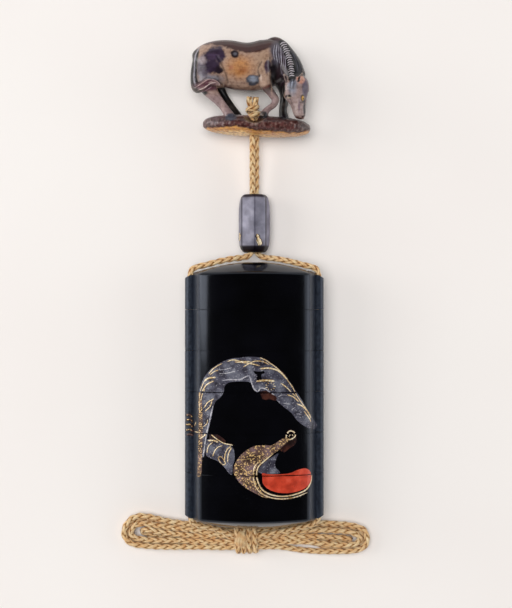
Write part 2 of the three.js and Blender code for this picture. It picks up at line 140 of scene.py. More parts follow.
def light(name, place, size, power, colour, mirrored=True):
    """A soft rectangular light at place, in metres, that faces the object."""
    lamp = bpy.data.lights.new(name, "AREA")
    lamp.shape = "RECTANGLE"
    lamp.size, lamp.size_y = size
    lamp.energy = power
    lamp.color = colour
    lit = bpy.data.objects.new(name, lamp)
    bpy.context.scene.collection.objects.link(lit)
    lit.location = place
    lit.rotation_euler = (-Vector(place)).to_track_quat("-Z", "Y").to_euler()
    lit.visible_glossy = mirrored


light("left_light", (-2.0, 0.4, 0.9), (0.9, 1.8), 17, (1, 0.985, 0.97))
light("right_light", (2.0, 0.2, 0.8), (0.8, 1.6), 6, (0.96, 0.98, 1))
light("ceiling_light", (-0.2, 0.15, 1.8), (1.1, 1.1), 24, (1, 1, 1), mirrored=False)

# ---- Cord ---------------------------------------------------------------------------------
# One silk cord, braided square from eight soft strands. Its two ends are knotted over the toggle.
# It runs double through the bead, parts over the lid, goes down the two runners, and its slack
# is folded to and fro below the foot into a hank with a lobe on each side of the tie.

CORD = 2.3  # diameter
MID = 11.75  # height of the case's mid depth over the table


def spline(points, per=14):
    """Points on the centripetal Catmull-Rom curve through the given ones."""
    knots = np.array(points, float)
    knots = np.vstack([2 * knots[0] - knots[1], knots, 2 * knots[-1] - knots[-2]])
    line = []
    for a, b, c, d in zip(knots, knots[1:], knots[2:], knots[3:]):
        t1 = np.linalg.norm(b - a) ** 0.5
        t2 = t1 + np.linalg.norm(c - b) ** 0.5
        t3 = t2 + np.linalg.norm(d - c) ** 0.5
        for t in np.linspace(t1, t2, per, endpoint=False):
            ab = a + (b - a) * t / t1
            bc = b + (c - b) * (t - t1) / (t2 - t1)
            cd = c + (d - c) * (t - t2) / (t3 - t2)
            abc = ab + (bc - ab) * t / t2
            bcd = bc + (cd - bc) * (t - t1) / (t3 - t1)
            line.append(abc + (bcd - abc) * (t - t1) / (t2 - t1))
    line.append(knots[-2])
    return np.array(line)


def evenly(line, step):
    """The same line with points step apart."""
    reach = np.concatenate([[0], np.cumsum(np.linalg.norm(np.diff(line, axis=0), axis=1))])
    count = max(2, round(reach[-1] / step) + 1)
    at = np.linspace(0, reach[-1], count)
    return np.stack([np.interp(at, reach, line[:, k]) for k in range(3)], 1), at


def carried_frames(line, first):
    """Two directions across the line at each point, carried along it without twist."""
    ahead = np.gradient(line, axis=0)
    ahead /= np.linalg.norm(ahead, axis=1)[:, None]
    across = np.zeros_like(line)
    side = np.array(first, float)
    for n, t in enumerate(ahead):
        side = side - t * (side @ t)
        side /= np.linalg.norm(side)
        across[n] = side
    return ahead, across, np.cross(ahead, across)


def mesh_piece(name, points, faces):
    """A piece from points in millimetres about the case's middle."""
    data = bpy.data.meshes.new(name)
    data.from_pydata(to_frame(points).tolist(), [], faces)
    data.validate()
    data.polygons.foreach_set("use_smooth", [True] * len(data.polygons))
    piece = bpy.data.objects.new(name, data)
    bpy.context.scene.collection.objects.link(piece)
    return piece


def strand_piece(name, points, faces, marks, rise):
    """A piece of strands, with the fibres' direction and the height over the core marked."""
    piece = mesh_piece(name, points, faces)
    lay = piece.data.uv_layers.new(name="strand")
    lay.data.foreach_set("uv", [c for face in marks for uv in face for c in uv])
    height = piece.data.attributes.new("rise", "FLOAT", "POINT")
    height.data.foreach_set("value", rise)
    return piece


BRAID_TURN = 0.46  # radians that a strand turns about the cord in a millimetre
BRAID_STEP = 0.54
STRAND_SIDES = 6
STRAND_PLACE, STRAND_SWAY = 0.5, 0.27  # a strand's distance from the core, and how it varies
STRAND_THICK, STRAND_WIDE = 0.43, 0.62  # half its section




def braid(name, line, up=(0, 0, 1)):
    """An eight-strand square braid along the line, one closed tube to each strand."""
    centre, run = evenly(line, BRAID_STEP)
    ahead, north, east = carried_frames(centre, up)
    points, faces, marks, rise = [], [], [], []
    drift = 0.25 * np.sin(run / 23.0) + 0.12 * np.sin(run / 7.3)
    corners = range(STRAND_SIDES)
    for strand in range(8):
        hand = 1 if strand < 4 else -1
        angle = hand * BRAID_TURN * run + math.pi / 2 * (strand % 4 + 0.5 * (hand < 0))
        radius = STRAND_PLACE + hand * STRAND_SWAY * np.sin(2 * angle)
        angle += drift
        out_way = north * np.cos(angle)[:, None] + east * np.sin(angle)[:, None]
        middle = centre + out_way * radius[:, None]
        along = np.gradient(middle, axis=0)
        along /= np.linalg.norm(along, axis=1)[:, None]
        thick = out_way - along * (out_way * along).sum(1)[:, None]
        thick /= np.linalg.norm(thick, axis=1)[:, None]
        wide = np.cross(along, thick)
        start = len(points)
        for k in range(len(run)):
            for i in corners:
                turn = 2 * math.pi * i / STRAND_SIDES
                spot = (
                    middle[k]
                    + thick[k] * STRAND_THICK * math.cos(turn)
                    + wide[k] * STRAND_WIDE * math.sin(turn)
                )
                points.append(spot)
                # The crown of each strand is marked highest, so that the painted shade leaves it
                # palest.
                crest = 0.76 + 0.24 * math.cos(turn)
                rise.append(crest * np.linalg.norm(spot - centre[k]) / (CORD / 2))
        reach = run + 37 * strand
        for k in range(len(run) - 1):
            for i in corners:
                a = start + k * STRAND_SIDES + i
                b = start + k * STRAND_SIDES + (i + 1) % STRAND_SIDES
                faces.append((a, b, b + STRAND_SIDES, a + STRAND_SIDES))
                v0, v1 = i / STRAND_SIDES, (i + 1) / STRAND_SIDES
                marks.append(
                    [(reach[k], v0), (reach[k], v1), (reach[k + 1], v1), (reach[k + 1], v0)]
                )
        last = start + (len(run) - 1) * STRAND_SIDES
        faces.append(tuple(start + i for i in reversed(corners)))
        marks.append([(reach[0], i / STRAND_SIDES) for i in reversed(corners)])
        faces.append(tuple(last + i for i in corners))
        marks.append([(reach[-1], i / STRAND_SIDES) for i in corners])
    return strand_piece(name, points, faces, marks, rise), centre


TOGGLE_Y = 93.8  # the toggle's underside, from the case's middle
HOLE_X, HOLE_Z = 0, 8.5


def strand_from_knot(side):
    """One half of the cord (-1 left and over, 1 right and under) from the knot to the foot."""
    x, z = side * 0.675, -side * 0.935
    return [
        (x - 0.3, TOGGLE_Y + 7.6, HOLE_Z + z),
        (x, TOGGLE_Y + 5.4, HOLE_Z + z),
        (x, 91, HOLE_Z - 0.2 + z),
        (x, 82, 7.1 + z),
        (x, 73, 5.8 + z),
        (x, 62, 5.8 + z),
        (x, 53.5, 5.8 + z),
        (side * 1.0, 51.4, 5.8 + 1.05 * z),
        (side * 2.1, 49.95, 6.4 + z),
        (side * 4.4, 49.2, 7.6 + 0.7 * z),
        (side * 7.4, 48.85, 9.6 + 0.3 * z),
        (side * 11, 48.15, 11.2),
        (side * 14.6, 47.3, 11.7),
        (side * 18, 46.4, MID),
        (side * 20.7, 45.75, MID),
        (side * 22.6, 44.6, MID),
        (side * 23, 42.6, MID),
        (side * 23, 20, MID),
        (side * 23, 0, MID),
        (side * 23, -20, MID),
        (side * 23, -43.4, MID),
        (side * 22.7, -45.6, 11.0),
        (side * 21.2, -47.1, 9.9),
        (side * 18.2, -48.1, 8.7),
        (side * 14.4, -49.2, 7.5),
    ]


# Each fold of the hank: out along one arm, round its far end and back along the other.
OUTER_LEFT = [
    (-20, -48.8, 3.3), (-26, -47.9, 3.3), (-33, -46.8, 3.3), (-38.2, -45.5, 3.3),
    (-43, -45.3, 3.3), (-46, -47.2, 3.3), (-47.6, -50.4, 3.3), (-47.1, -53.3, 3.3),
    (-44.6, -55.3, 3.3), (-40.5, -56, 3.3), (-33, -56.4, 3.3), (-20, -56.4, 3.3),
]  # fmt: skip
INNER_LEFT = [
    (-20, -50.6, 3.4), (-29, -49.5, 3.4), (-36, -48.6, 3.4), (-41, -47.9, 3.3), (-44.1, -49, 3.3),
    (-45.1, -51.1, 3.3), (-44.2, -52.8, 3.3), (-41.2, -53.6, 3.3), (-36, -54, 3.4),
    (-29, -54, 3.4), (-20, -54.4, 3.4),
]  # fmt: skip
CORE_LEFT = [
    (-20, -52.5, 3.1), (-30, -51.5, 3.4), (-36, -50.7, 3.45), (-39.4, -50.1, 3.4),
    (-41.0, -50.8, 2.3), (-39.8, -51.8, 1.2), (-37, -52.2, 1.15), (-30, -52.5, 1.15),
    (-20, -53.4, 1.15),
]  # fmt: skip
UNDER_LEFT = [
    (-20, -49.9, 1.15), (-30, -48.7, 1.15), (-38, -47.5, 1.15), (-42.6, -47.1, 1.15),
    (-45.6, -48.7, 1.15), (-46.5, -51, 1.15), (-45.7, -53.3, 1.15), (-43, -54.8, 1.15),
    (-38, -55.6, 1.15), (-30, -55.4, 1.15), (-20, -55.6, 1.15),
]  # fmt: skip
OUTER_RIGHT = [
    (10.5, -49.7, 3.3), (20.5, -47.9, 3.3), (30, -48, 3.3), (36.5, -48.8, 3.3),
    (40.1, -50.4, 3.3), (41.2, -53.2, 3.3), (40.6, -55.8, 3.3), (38.2, -57.4, 3.3),
    (28, -58.2, 2.6), (18, -57.9, 1.6), (9, -56.5, 2.4),
]  # fmt: skip
INNER_RIGHT = [
    (10, -51.7, 3.6), (20, -50.4, 3.3), (30, -50.5, 3.3), (36, -51.3, 3.3), (38.7, -53.3, 3.3),
    (37.4, -55.1, 3.3), (33, -55.8, 3.3), (27, -55.5, 3.3), (20, -54.6, 3.3), (12, -54.5, 3.5),
]  # fmt: skip
CORE_RIGHT = [
    (10, -53.2, 2.9), (20, -52.6, 3), (29, -53, 3), (33.4, -53.3, 2.6), (35.2, -54, 1.9),
    (33.8, -55.1, 1.3), (30, -55, 1.15), (20, -52.6, 1.15), (10, -53, 1.3),
]  # fmt: skip
UNDER_RIGHT = [
    (10, -50.7, 1.3), (20, -49.2, 1.15), (30, -49.3, 1.15), (35.5, -50, 1.15),
    (38.8, -51.5, 1.15), (39.9, -53.7, 1.15), (38.7, -55.9, 1.15), (35, -57, 1.15),
    (28, -56.9, 1.15), (20, -54.9, 1.15), (10, -54.8, 1.3),
]  # fmt: skip

# Where the runs pass under the tie, in two rows of four, the free strands over them.
WAIST_Y = (-50.7, -52.6, -54.5, -56.3)
WAIST_ROWS = {"low": 2.3, "high": 4.1}
WAIST_LEFT, WAIST_RIGHT = -7.6, 0.4


def pass_waist(left, right, to_right):
    """The two points at which a run enters and leaves the tie, given its (column, row) there."""
    ends = [
        (x, WAIST_Y[column], WAIST_ROWS[row])
        for x, (column, row) in ((WAIST_LEFT, left), (WAIST_RIGHT, right))
    ]
    return ends if to_right else ends[::-1]


LOW, HIGH = "low", "high"
route = [
    *strand_from_knot(-1),
    (-11, -50.5, 6.6),
    (WAIST_LEFT, -51.6, 5.9),
    (WAIST_RIGHT, WAIST_Y[1], 4.4),
    *INNER_RIGHT,
    *pass_waist((3, HIGH), (2, HIGH), False),
    *OUTER_LEFT[::-1],
    *pass_waist((0, HIGH), (0, HIGH), True),
    *OUTER_RIGHT,
    *pass_waist((3, LOW), (3, HIGH), False),
    *UNDER_LEFT[::-1],
    *pass_waist((0, LOW), (0, LOW), True),
    *UNDER_RIGHT,
    *pass_waist((2, LOW), (3, LOW), False),
    *CORE_LEFT[::-1],
    *pass_waist((1, LOW), (1, LOW), True),
    *CORE_RIGHT,
    *pass_waist((2, HIGH), (2, LOW), False),
    *INNER_LEFT[::-1],
    (WAIST_LEFT, WAIST_Y[1], 4.3),
    (WAIST_RIGHT, -51.9, 5.9),
    (4.5, -51.3, 6.0),
    (9, -50.5, 6.5),
    *strand_from_knot(1)[::-1],
]
cord, cord_centre = braid("cord", spline(route))

MIX = {"out": 2, "data_type": "RGBA"}  # a Mix node's colour output
MULTIPLY = {**MIX, "blend_type": "MULTIPLY"}
silk, tree = material("braided_silk")
# Raw silk, hand braided: pale straw on the crowns of the strands, darkened to brown by painted
# shade where they dive, with the fine long fibres of each strand catching the light.
along_strand = add(tree, "UVMap", uv_map="strand")
stretch = add(tree, "Mapping", {"Vector": along_strand, "Scale": (0.55, 26, 1)})
fibre = add(
    tree, "TexNoise", {"Vector": stretch, "Scale": 1.0, "Detail": 3.0, "Roughness": 0.6}
)
where = add(tree, "TexCoord", out="Object")
patch = add(tree, "TexNoise", {"Vector": where, "Scale": 420.0, "Detail": 2.0})
straw = add(
    tree, "ValToRGB", {"Fac": fibre}, [(0.28, "C29A6A"), (0.5, "E3C798"), (0.74, "F6E8C8")]
)
warm = add(tree, "ValToRGB", {"Fac": patch}, [(0.35, "F0D0AE"), (0.62, "FFFFFF")])
tinted = add(tree, "Mix", {0: 0.75, 6: straw, 7: warm}, **MULTIPLY)
rise = add(tree, "Attribute", attribute_name="rise", out="Fac")
# Painted shade: the nearer a point lies to the cord's core, the darker brown it is drawn.
depth = add(
    tree, "ValToRGB", {"Fac": rise}, [(0.5, "3E2614"), (0.68, "B8935F"), (0.84, "FFFFFF")]
)
shaded = add(tree, "Mix", {0: 1.0, 6: tinted, 7: depth}, **MULTIPLY)
relief = add(tree, "Bump", {"Height": fibre, "Strength": 0.5, "Distance": 0.0002})
shader = add(
    tree,
    "BsdfPrincipled",
    {
        "Base Color": shaded,
        "Normal": relief,
        "Roughness": 0.58,
        "Sheen Weight": 0.25,
        "Sheen Roughness": 0.4,
    },
)
add(tree, "OutputMaterial", {"Surface": shader})
cord.data.materials.append(silk)
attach(cord, "root")
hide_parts("cord_left", "cord_right", "hank_left", "hank_right")

# ---- Stopping knot --------------------------------------------------------------------------
# Over the toggle's hole the two ends are wound round each other in a barrel knot, too big for
# the hole, and cut off square above it.

KNOT_STEPS, STEPS_IN_HALF_TURN = 17, 4.2
knot_line = [(0.9, TOGGLE_Y + 4.2, HOLE_Z - 0.6)]
for n in range(KNOT_STEPS):
    turn = -1.2 - n * math.pi / STEPS_IN_HALF_TURN
    knot_line.append(
        (
            0.45 - 0.085 * n + 1.75 * math.cos(turn),
            TOGGLE_Y + 5.7 + 0.27 * n,
            HOLE_Z + 0.5 + 1.6 * math.sin(turn),
        )
    )
knot_line += [(-1.7, TOGGLE_Y + 11, HOLE_Z + 1.3), (-1.75, TOGGLE_Y + 13.4, HOLE_Z + 1.4)]
stop_knot, _ = braid("stop_knot", spline(knot_line), up=(1, 0, 0))
stop_knot.data.materials.append(silk)
cut_end, _ = braid(
    "stop_knot_end",
    spline(
        [
            (0, TOGGLE_Y + 6.5, HOLE_Z),
            (0.3, TOGGLE_Y + 9.8, HOLE_Z + 0.9),
            (0.55, TOGGLE_Y + 13.3, HOLE_Z + 1.4),
        ]
    ),
    up=(1, 0, 0),
)
cut_end.data.materials.append(silk)
for piece in (stop_knot, cut_end):
    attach(piece, "root")
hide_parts("cord_knot")

# ---- Tie --------------------------------------------------------------------------------------
# A short end of the same cord, wound round the waist of the hank and tucked in. Its last turn
# has come undone into a soft tuft that lies over the others.

TIE_TURNS, TIE_PITCH, TURN_STEPS = 4, 2.05, 8
wrap = []
for n in range(TIE_TURNS * TURN_STEPS + 1):
    turn = 2 * math.pi * n / TURN_STEPS
    y = -53.5 + 4.0 * np.clip(1.35 * math.cos(turn), -1, 1)
    z = 3.75 + 2.75 * np.clip(1.35 * math.sin(turn), -1, 1)
    wrap.append((-6.6 + TIE_PITCH * n / TURN_STEPS, y, z))
tie, _ = braid("tie", spline(wrap, 6), up=(1, 0, 0))
tie.data.materials.append(silk)
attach(tie, "root")
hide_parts("cord_tie")

THREADS, THREAD_SIDES, THREAD_GIRTH = 46, 5, 0.27
tuft_points, tuft_faces, tuft_marks = [], [], []
for n in range(THREADS):
    layer, place = divmod(n, THREADS // 2)
    fan = place / (THREADS // 2 - 1) * 2 - 1
    lean, droop = fan + 0.12 * math.sin(5 * n), fan * fan
    thread = spline(
        [
            (-4.9 + 0.55 * fan, -50.0 - 0.25 * layer, 7.9 - 0.5 * layer),
            (-4.7 + 1.5 * lean, -51.9, 8.9 - 1.0 * droop - 0.7 * layer),
            (-4.6 + 2.3 * lean, -54.2, 8.7 - 2.4 * droop - 0.8 * layer),
            (-4.6 + 2.2 * lean, -56.3 + 0.5 * droop, 6.9 - 2.2 * droop - 0.8 * layer),
            (-4.6 + 1.7 * lean, -57.7 + 0.9 * droop, 5.0 - 1.2 * droop - 0.5 * layer),
        ],
        5,
    )
    ahead, north, east = carried_frames(thread, (1, 0.2, 0.1))
    base, last = len(tuft_points), len(thread) - 1
    for k in range(last + 1):
        girth = THREAD_GIRTH * (0.75 + 0.4 * math.sin(math.pi * k / last))
        for i in range(THREAD_SIDES):
            turn = 2 * math.pi * i / THREAD_SIDES
            across = north[k] * math.cos(turn) + east[k] * math.sin(turn)
            tuft_points.append(thread[k] + girth * across)
    for k in range(last):
        for i in range(THREAD_SIDES):
            a = base + THREAD_SIDES * k + i
            b = base + THREAD_SIDES * k + (i + 1) % THREAD_SIDES
            tuft_faces.append((a, b, b + THREAD_SIDES, a + THREAD_SIDES))
            u, v0, v1 = k + 9 * n, i / THREAD_SIDES, (i + 1) / THREAD_SIDES
            tuft_marks.append([(u, v0), (u, v1), (u + 1, v1), (u + 1, v0)])
    corners = range(THREAD_SIDES)
    tuft_faces.append(tuple(base + i for i in reversed(corners)))
    tuft_faces.append(tuple(base + THREAD_SIDES * last + i for i in corners))
    tuft_marks += [[(9 * n, i / THREAD_SIDES) for i in corners]] * 2
# Painted light and shade: two sides of each thread are marked high, so they are drawn paler than
# the rest.
heights = [0.74 + 0.16 * (i % THREAD_SIDES < 2) for i in range(len(tuft_points))]
tuft = strand_piece("tie_tuft", tuft_points, tuft_faces, tuft_marks, heights)
tuft.data.materials.append(silk)
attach(tuft, "root")

to_frame([(HOLE_X, TOGGLE_Y + 6.5, HOLE_Z)])[0]
to_frame(cord_centre[::3])

# ---- Case -------------------------------------------------------------------------------------
# A lid and five trays of thin wood, lacquered black and polished. Each slides over the collar of
# the one below. A section is drawn out of its own outline, then walled, and the two tubes that
# the cord runs down are joined to its narrow sides and bored.

LID_RIM, FOOT_RIM = 42.45, -43.9
LID_SEAM = 30.35
TRAY_LENGTH, SEAM = 14.65, 0.06
PANEL_HALF, PANEL_EDGE, BODY_HALF, FLANK_HALF = 19.8, 7.5, 22, 1.5
PANEL_RADIUS = 45.81  # the bowed front and back
SHOULDER = 1.2
PANEL_TOP = 12.0
# The same bounds mark where a painted blue-grey reflection colours the edges.
WORN_FROM, WORN_TO = 18.9, 19.9  # the polish gives way to wear this far from the middle
FLAT_BACK = 4.78  # half width of the strip that it lies on
WALL, RISER, RISER_GAP, RISER_HEIGHT, SKIRT, FLOOR = 1.2, 0.8, 0.3, 3.2, 3.6, 1.2


def panel(x):
    """Height of the front panel over mid depth."""
    return PANEL_TOP - PANEL_RADIUS + math.sqrt(PANEL_RADIUS**2 - x * x)


def shoulder():
    """The rounded turn from the front panel to the slope at its right edge."""
    start = np.array((PANEL_HALF - SHOULDER, panel(PANEL_HALF - SHOULDER)))
    corner = np.array((PANEL_HALF, PANEL_EDGE))
    slope = np.array((BODY_HALF, FLANK_HALF)) - corner
    end = corner + slope / np.linalg.norm(slope) * SHOULDER
    return [
        tuple((1 - t) ** 2 * start + 2 * t * (1 - t) * corner + t * t * end)
        for t in np.linspace(0, 1, 9)
    ]


def outline():
    """The case's section, seen along Y: eight sides, the four long ones bowed or rounded."""
    turn = shoulder()
    across = np.linspace(PANEL_HALF - SHOULDER, SHOULDER - PANEL_HALF, 37)[1:-1]
    front = [(x, panel(x)) for x in across]
    left = [(-BODY_HALF, FLANK_HALF), (-BODY_HALF, -FLANK_HALF)]
    back = [(x, -panel(x)) for x in np.linspace(SHOULDER - PANEL_HALF, -FLAT_BACK, 12)[1:]]
    right = [(BODY_HALF, -FLANK_HALF), (BODY_HALF, FLANK_HALF)]
    return (
        turn[::-1]
        + front
        + [(-x, z) for x, z in turn]
        + left
        + [(-x, -z) for x, z in turn[::-1]]
        + back
        + [(-x, z) for x, z in back[::-1]]
        + [(x, -z) for x, z in turn]
        + right
    )


OUTLINE = np.array(outline())


def shape(piece, kind, **settings):
    """Adds a modifier to the piece, and applies it."""
    bpy.ops.object.select_all(action="DESELECT")
    bpy.context.view_layer.objects.active = piece
    modifier = piece.modifiers.new(kind.lower(), kind)
    for name, value in settings.items():
        setattr(modifier, name, value)
    bpy.ops.object.modifier_apply(modifier=modifier.name)


def select_faces(piece, test):
    """In edit mode, selects only the faces whose middle and normal pass the test."""
    bpy.ops.mesh.select_mode(type="FACE")
    bpy.ops.mesh.select_all(action="DESELECT")
    net = bmesh.from_edit_mesh(piece.data)
    for face in net.faces:
        face.select_set(test(face.calc_center_median(), face.normal))
    bmesh.update_edit_mesh(piece.data)


def draw_out(dy):
    """Extrudes what is selected along Y."""
    bpy.ops.mesh.extrude_region_move(TRANSFORM_OT_translate={"value": (0, dy * MM, 0)})


def section(name, low, high):
    """A solid length of the case between two heights, as an edit-mode object."""
    bpy.ops.object.select_all(action="DESELECT")
    bpy.ops.mesh.primitive_circle_add(vertices=len(OUTLINE), radius=0.02, fill_type="NGON")
    piece = bpy.context.object
    piece.name = piece.data.name = name
    for vertex, (x, z) in zip(piece.data.vertices, OUTLINE):
        vertex.co = to_frame((x, low, MID + z))
    bpy.ops.object.mode_set(mode="EDIT")
    bpy.ops.mesh.select_all(action="SELECT")
    draw_out(high - low)
    bpy.ops.mesh.select_all(action="SELECT")
    bpy.ops.mesh.normals_make_consistent(inside=False)
    return piece


def hollow_top(piece, high, floor):
    """The collar and the room inside, from a section's upper end."""
    top = to_frame((0, high, 0))[1]
    select_faces(piece, lambda c, n: n.y > 0.9 and abs(c.y - top) < 1e-5)
    bpy.ops.mesh.inset(thickness=(WALL + RISER_GAP) * MM)
    draw_out(RISER_HEIGHT)
    bpy.ops.mesh.inset(thickness=RISER * MM)
    draw_out(floor - high - RISER_HEIGHT)


def hollow_foot(piece, low, depth):
    """The skirt that slides over the section below."""
    foot = to_frame((0, low, 0))[1]
    select_faces(piece, lambda c, n: n.y < -0.9 and abs(c.y - foot) < 1e-5)
    bpy.ops.mesh.inset(thickness=WALL * MM)
    draw_out(depth)


RIM_ROUND, FLANK_RISE = 0.8, 1.15
LID_RISE, FOOT_RISE, RUNNER_PAST_FOOT = 4.3, 3.6, 0.3
DOME_STEP = 0.5
DOME_STEPS = [0.999, 0.993, 0.98, 0.96, 0.93, 0.88, 0.8, 0.7, 0.58, 0.45, 0.3, 0.15]


def swell(piece, rim, way, rise):
    """Draws a section's end out into the lid's or foot's dome."""
    end = to_frame((0, rim, 0))[1]
    select_faces(piece, lambda c, n: n.y * way > 0.9 and abs(c.y - end) < 1e-5)
    for _ in DOME_STEPS:
        draw_out(way * DOME_STEP)
    bpy.ops.object.mode_set(mode="OBJECT")
    for vertex in piece.data.vertices:
        x, y, z = np.array(vertex.co) / MM
        y -= case_middle / MM
        step = round((y - rim) * way / DOME_STEP)
        if step < 1:
            continue
        share = DOME_STEPS[step - 1]
        edge = min((1 - share) / 0.05, 1)
        rounded = math.sqrt(1 - (1 - edge) ** 2)
        inward = 1 - share * share
        panel_lift = rounded * RIM_ROUND + rise * inward
        flank_lift = FLANK_RISE + (rise + RIM_ROUND - FLANK_RISE) * inward
        flank = min(max((abs(x) - PANEL_HALF) / (BODY_HALF - PANEL_HALF), 0), 1)
        lift = panel_lift + flank * (flank_lift - panel_lift)
        vertex.co = to_frame((x * share, rim + way * lift, MID + (z - MID) * share))


RUNNER_X, RUNNER_RADIUS, RUNNER_BORE = 23, 2, 1.5
SHOULDER_ANGLE, SHOULDER_RISE = 0.5, 0.4


def tube(side, low, high, radius, sides=36):
    """A rod down one narrow side of the case."""
    bpy.ops.object.select_all(action="DESELECT")
    bpy.ops.mesh.primitive_cylinder_add(
        vertices=sides,
        radius=radius * MM,
        depth=(high - low) * MM,
        location=to_frame((side * RUNNER_X, (low + high) / 2, MID)),
        rotation=(math.pi / 2, 0, 0),
    )
    bpy.ops.object.transform_apply(location=True, rotation=True, scale=True)
    return bpy.context.object


def join_runners(piece, low, high, slope=0):
    """Joins the two runners to a section and bores them, the slope cutting one end aslant."""
    for side in (-1, 1):
        runner = tube(side, low, high, RUNNER_RADIUS)
        if slope:
            bpy.ops.object.mode_set(mode="EDIT")
            bpy.ops.mesh.select_all(action="SELECT")
            bpy.ops.mesh.bisect(
                plane_co=to_frame((side * RUNNER_X, high if slope > 0 else low, MID)),
                plane_no=(side * math.sin(SHOULDER_ANGLE), slope * math.cos(SHOULDER_ANGLE), 0),
                use_fill=True,
                clear_outer=True,
            )
            bpy.ops.object.mode_set(mode="OBJECT")
        shape(runner, "BEVEL", width=0.15 * MM, segments=2, angle_limit=0.7)
        shape(piece, "BOOLEAN", operation="UNION", solver="EXACT", object=runner)
        bpy.data.objects.remove(runner)
    for side in (-1, 1):
        bore = tube(side, low - 6, high + 6, RUNNER_BORE, 24)
        shape(piece, "BOOLEAN", operation="DIFFERENCE", solver="EXACT", object=bore)
        bpy.data.objects.remove(bore)


lacquer, tree = material("black_lacquer")
# Roiro lacquer: many thin coats of black urushi, ground flat and polished by hand to a mirror,
# with the faintest waviness. The slopes and runners at the narrow sides are worn by hands and
# cord to a satin, and their colour carries a painted blue-grey reflection.
where = add(tree, "TexCoord", out="Object")
wave = add(tree, "TexNoise", {"Vector": where, "Scale": 60.0, "Detail": 2.0})
dust = add(tree, "TexNoise", {"Vector": where, "Scale": 900.0, "Detail": 4.0})
depth = add(tree, "ValToRGB", {"Fac": wave}, [(0.3, "040405"), (0.7, "08080C")])
gloss = add(tree, "MapRange", {"Value": dust, "To Min": 0.07, "To Max": 0.16})
side = add(tree, "SeparateXYZ", {"Vector": where}, out="X")
from_middle = add(tree, "Math", {0: side}, operation="ABSOLUTE")
worn = add(
    tree,
    "MapRange",
    {"Value": from_middle, "From Min": WORN_FROM * MM, "From Max": WORN_TO * MM},
    interpolation_type="SMOOTHSTEP",
)
# Painted reflection: the edge slopes and runners are coloured blue-grey, for the room mirrored in
# them.
rubbed = add(tree, "ValToRGB", {"Fac": dust}, [(0.35, "1B1F27"), (0.65, "2C323D")])
colour = add(tree, "Mix", {0: worn, 6: depth, 7: rubbed}, **MIX)
satin = add(tree, "Mix", {0: worn, 2: gloss, 3: 0.34})
ripple = add(tree, "Bump", {"Height": wave, "Strength": 0.08, "Distance": 0.0004})
shader = add(
    tree,
    "BsdfPrincipled",
    {
        "Base Color": colour,
        "Roughness": satin,
        "Normal": ripple,
        "IOR": 1.54,
        # Painted light: a blue tint on every reflection stands in for cool daylight; the lacquer
        # itself mirrors without colour.
        "Specular Tint": linear("D5DFF2"),
    },
)
add(tree, "OutputMaterial", {"Surface": shader})


def finish_section(piece, node, low, high, slope=0):
    """Rounds a section's edges, joins its runners, smooths it and lacquers it."""
    bpy.ops.object.mode_set(mode="OBJECT")
    shape(piece, "BEVEL", width=0.1 * MM, segments=2, angle_limit=0.6)
    join_runners(piece, low, high, slope)
    bpy.ops.object.select_all(action="DESELECT")
    piece.select_set(True)
    bpy.context.view_layer.objects.active = piece
    bpy.ops.object.shade_smooth_by_angle(angle=0.5)
    shape(piece, "WEIGHTED_NORMAL", keep_sharp=True)
    piece.data.materials.clear()
    piece.data.materials.append(lacquer)
    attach(piece, "root")
    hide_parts(node)


lid = section("lid_section", LID_SEAM + SEAM, LID_RIM)
hollow_foot(lid, LID_SEAM + SEAM, LID_RIM - LID_SEAM - SEAM - WALL)
swell(lid, LID_RIM, 1, LID_RISE)
finish_section(lid, "lid", LID_SEAM + SEAM, LID_RIM + SHOULDER_RISE, 1)
for number in range(1, 5):
    high = LID_SEAM - (number - 1) * TRAY_LENGTH
    low = high - TRAY_LENGTH + SEAM
    tray = section(f"tray_section_{number}", low, high)
    hollow_foot(tray, low, SKIRT)
    hollow_top(tray, high, low + SKIRT + FLOOR)
    finish_section(tray, f"tray_{number}", low, high)
high = LID_SEAM - 4 * TRAY_LENGTH
foot = section("foot_section", FOOT_RIM, high)
hollow_top(foot, high, FOOT_RIM + FLOOR)
swell(foot, FOOT_RIM, -1, FOOT_RISE)
finish_section(foot, "tray_5", FOOT_RIM - SHOULDER_RISE - RUNNER_PAST_FOOT, high, -1)

# ---- Picture ----------------------------------------------------------------------------------
# Sprinkled lacquer picture of a plain saddle cloth, straps and a stirrup: metal powders
# dusted on wet lacquer and burnished, a hair's breadth proud of the black, and cut through
# with the seams when the case was finished.

SEAMS = [LID_SEAM - n * TRAY_LENGTH + SEAM / 2 for n in range(5)]
SEAM_GAP = 0.16
SUNK = 0.02  # the underside of each layer lies this far inside the lacquer
SIDE_PROFILE = np.array([*shoulder(), (BODY_HALF, FLANK_HALF)])


def front_height(x, y=0):
    """Height over the table of the case's front, edge slope or runner at x, whatever y is."""
    x = abs(x)
    if x <= PANEL_HALF - SHOULDER:
        return MID + panel(x)
    tube_top = RUNNER_RADIUS**2 - (x - RUNNER_X) ** 2
    side = np.interp(x, SIDE_PROFILE[:, 0], SIDE_PROFILE[:, 1])
    return MID + max(side, math.sqrt(max(tube_top, 0)))


def round_about(points):
    """The smooth closed outline through the points, about 0.6 mm between corners."""
    ring = [(*p, 0) for p in points]
    line = spline([*ring[-2:], *ring, *ring[:2]], 6)[12 : -12]
    return evenly(line, 0.6)[0][:-1, :2]


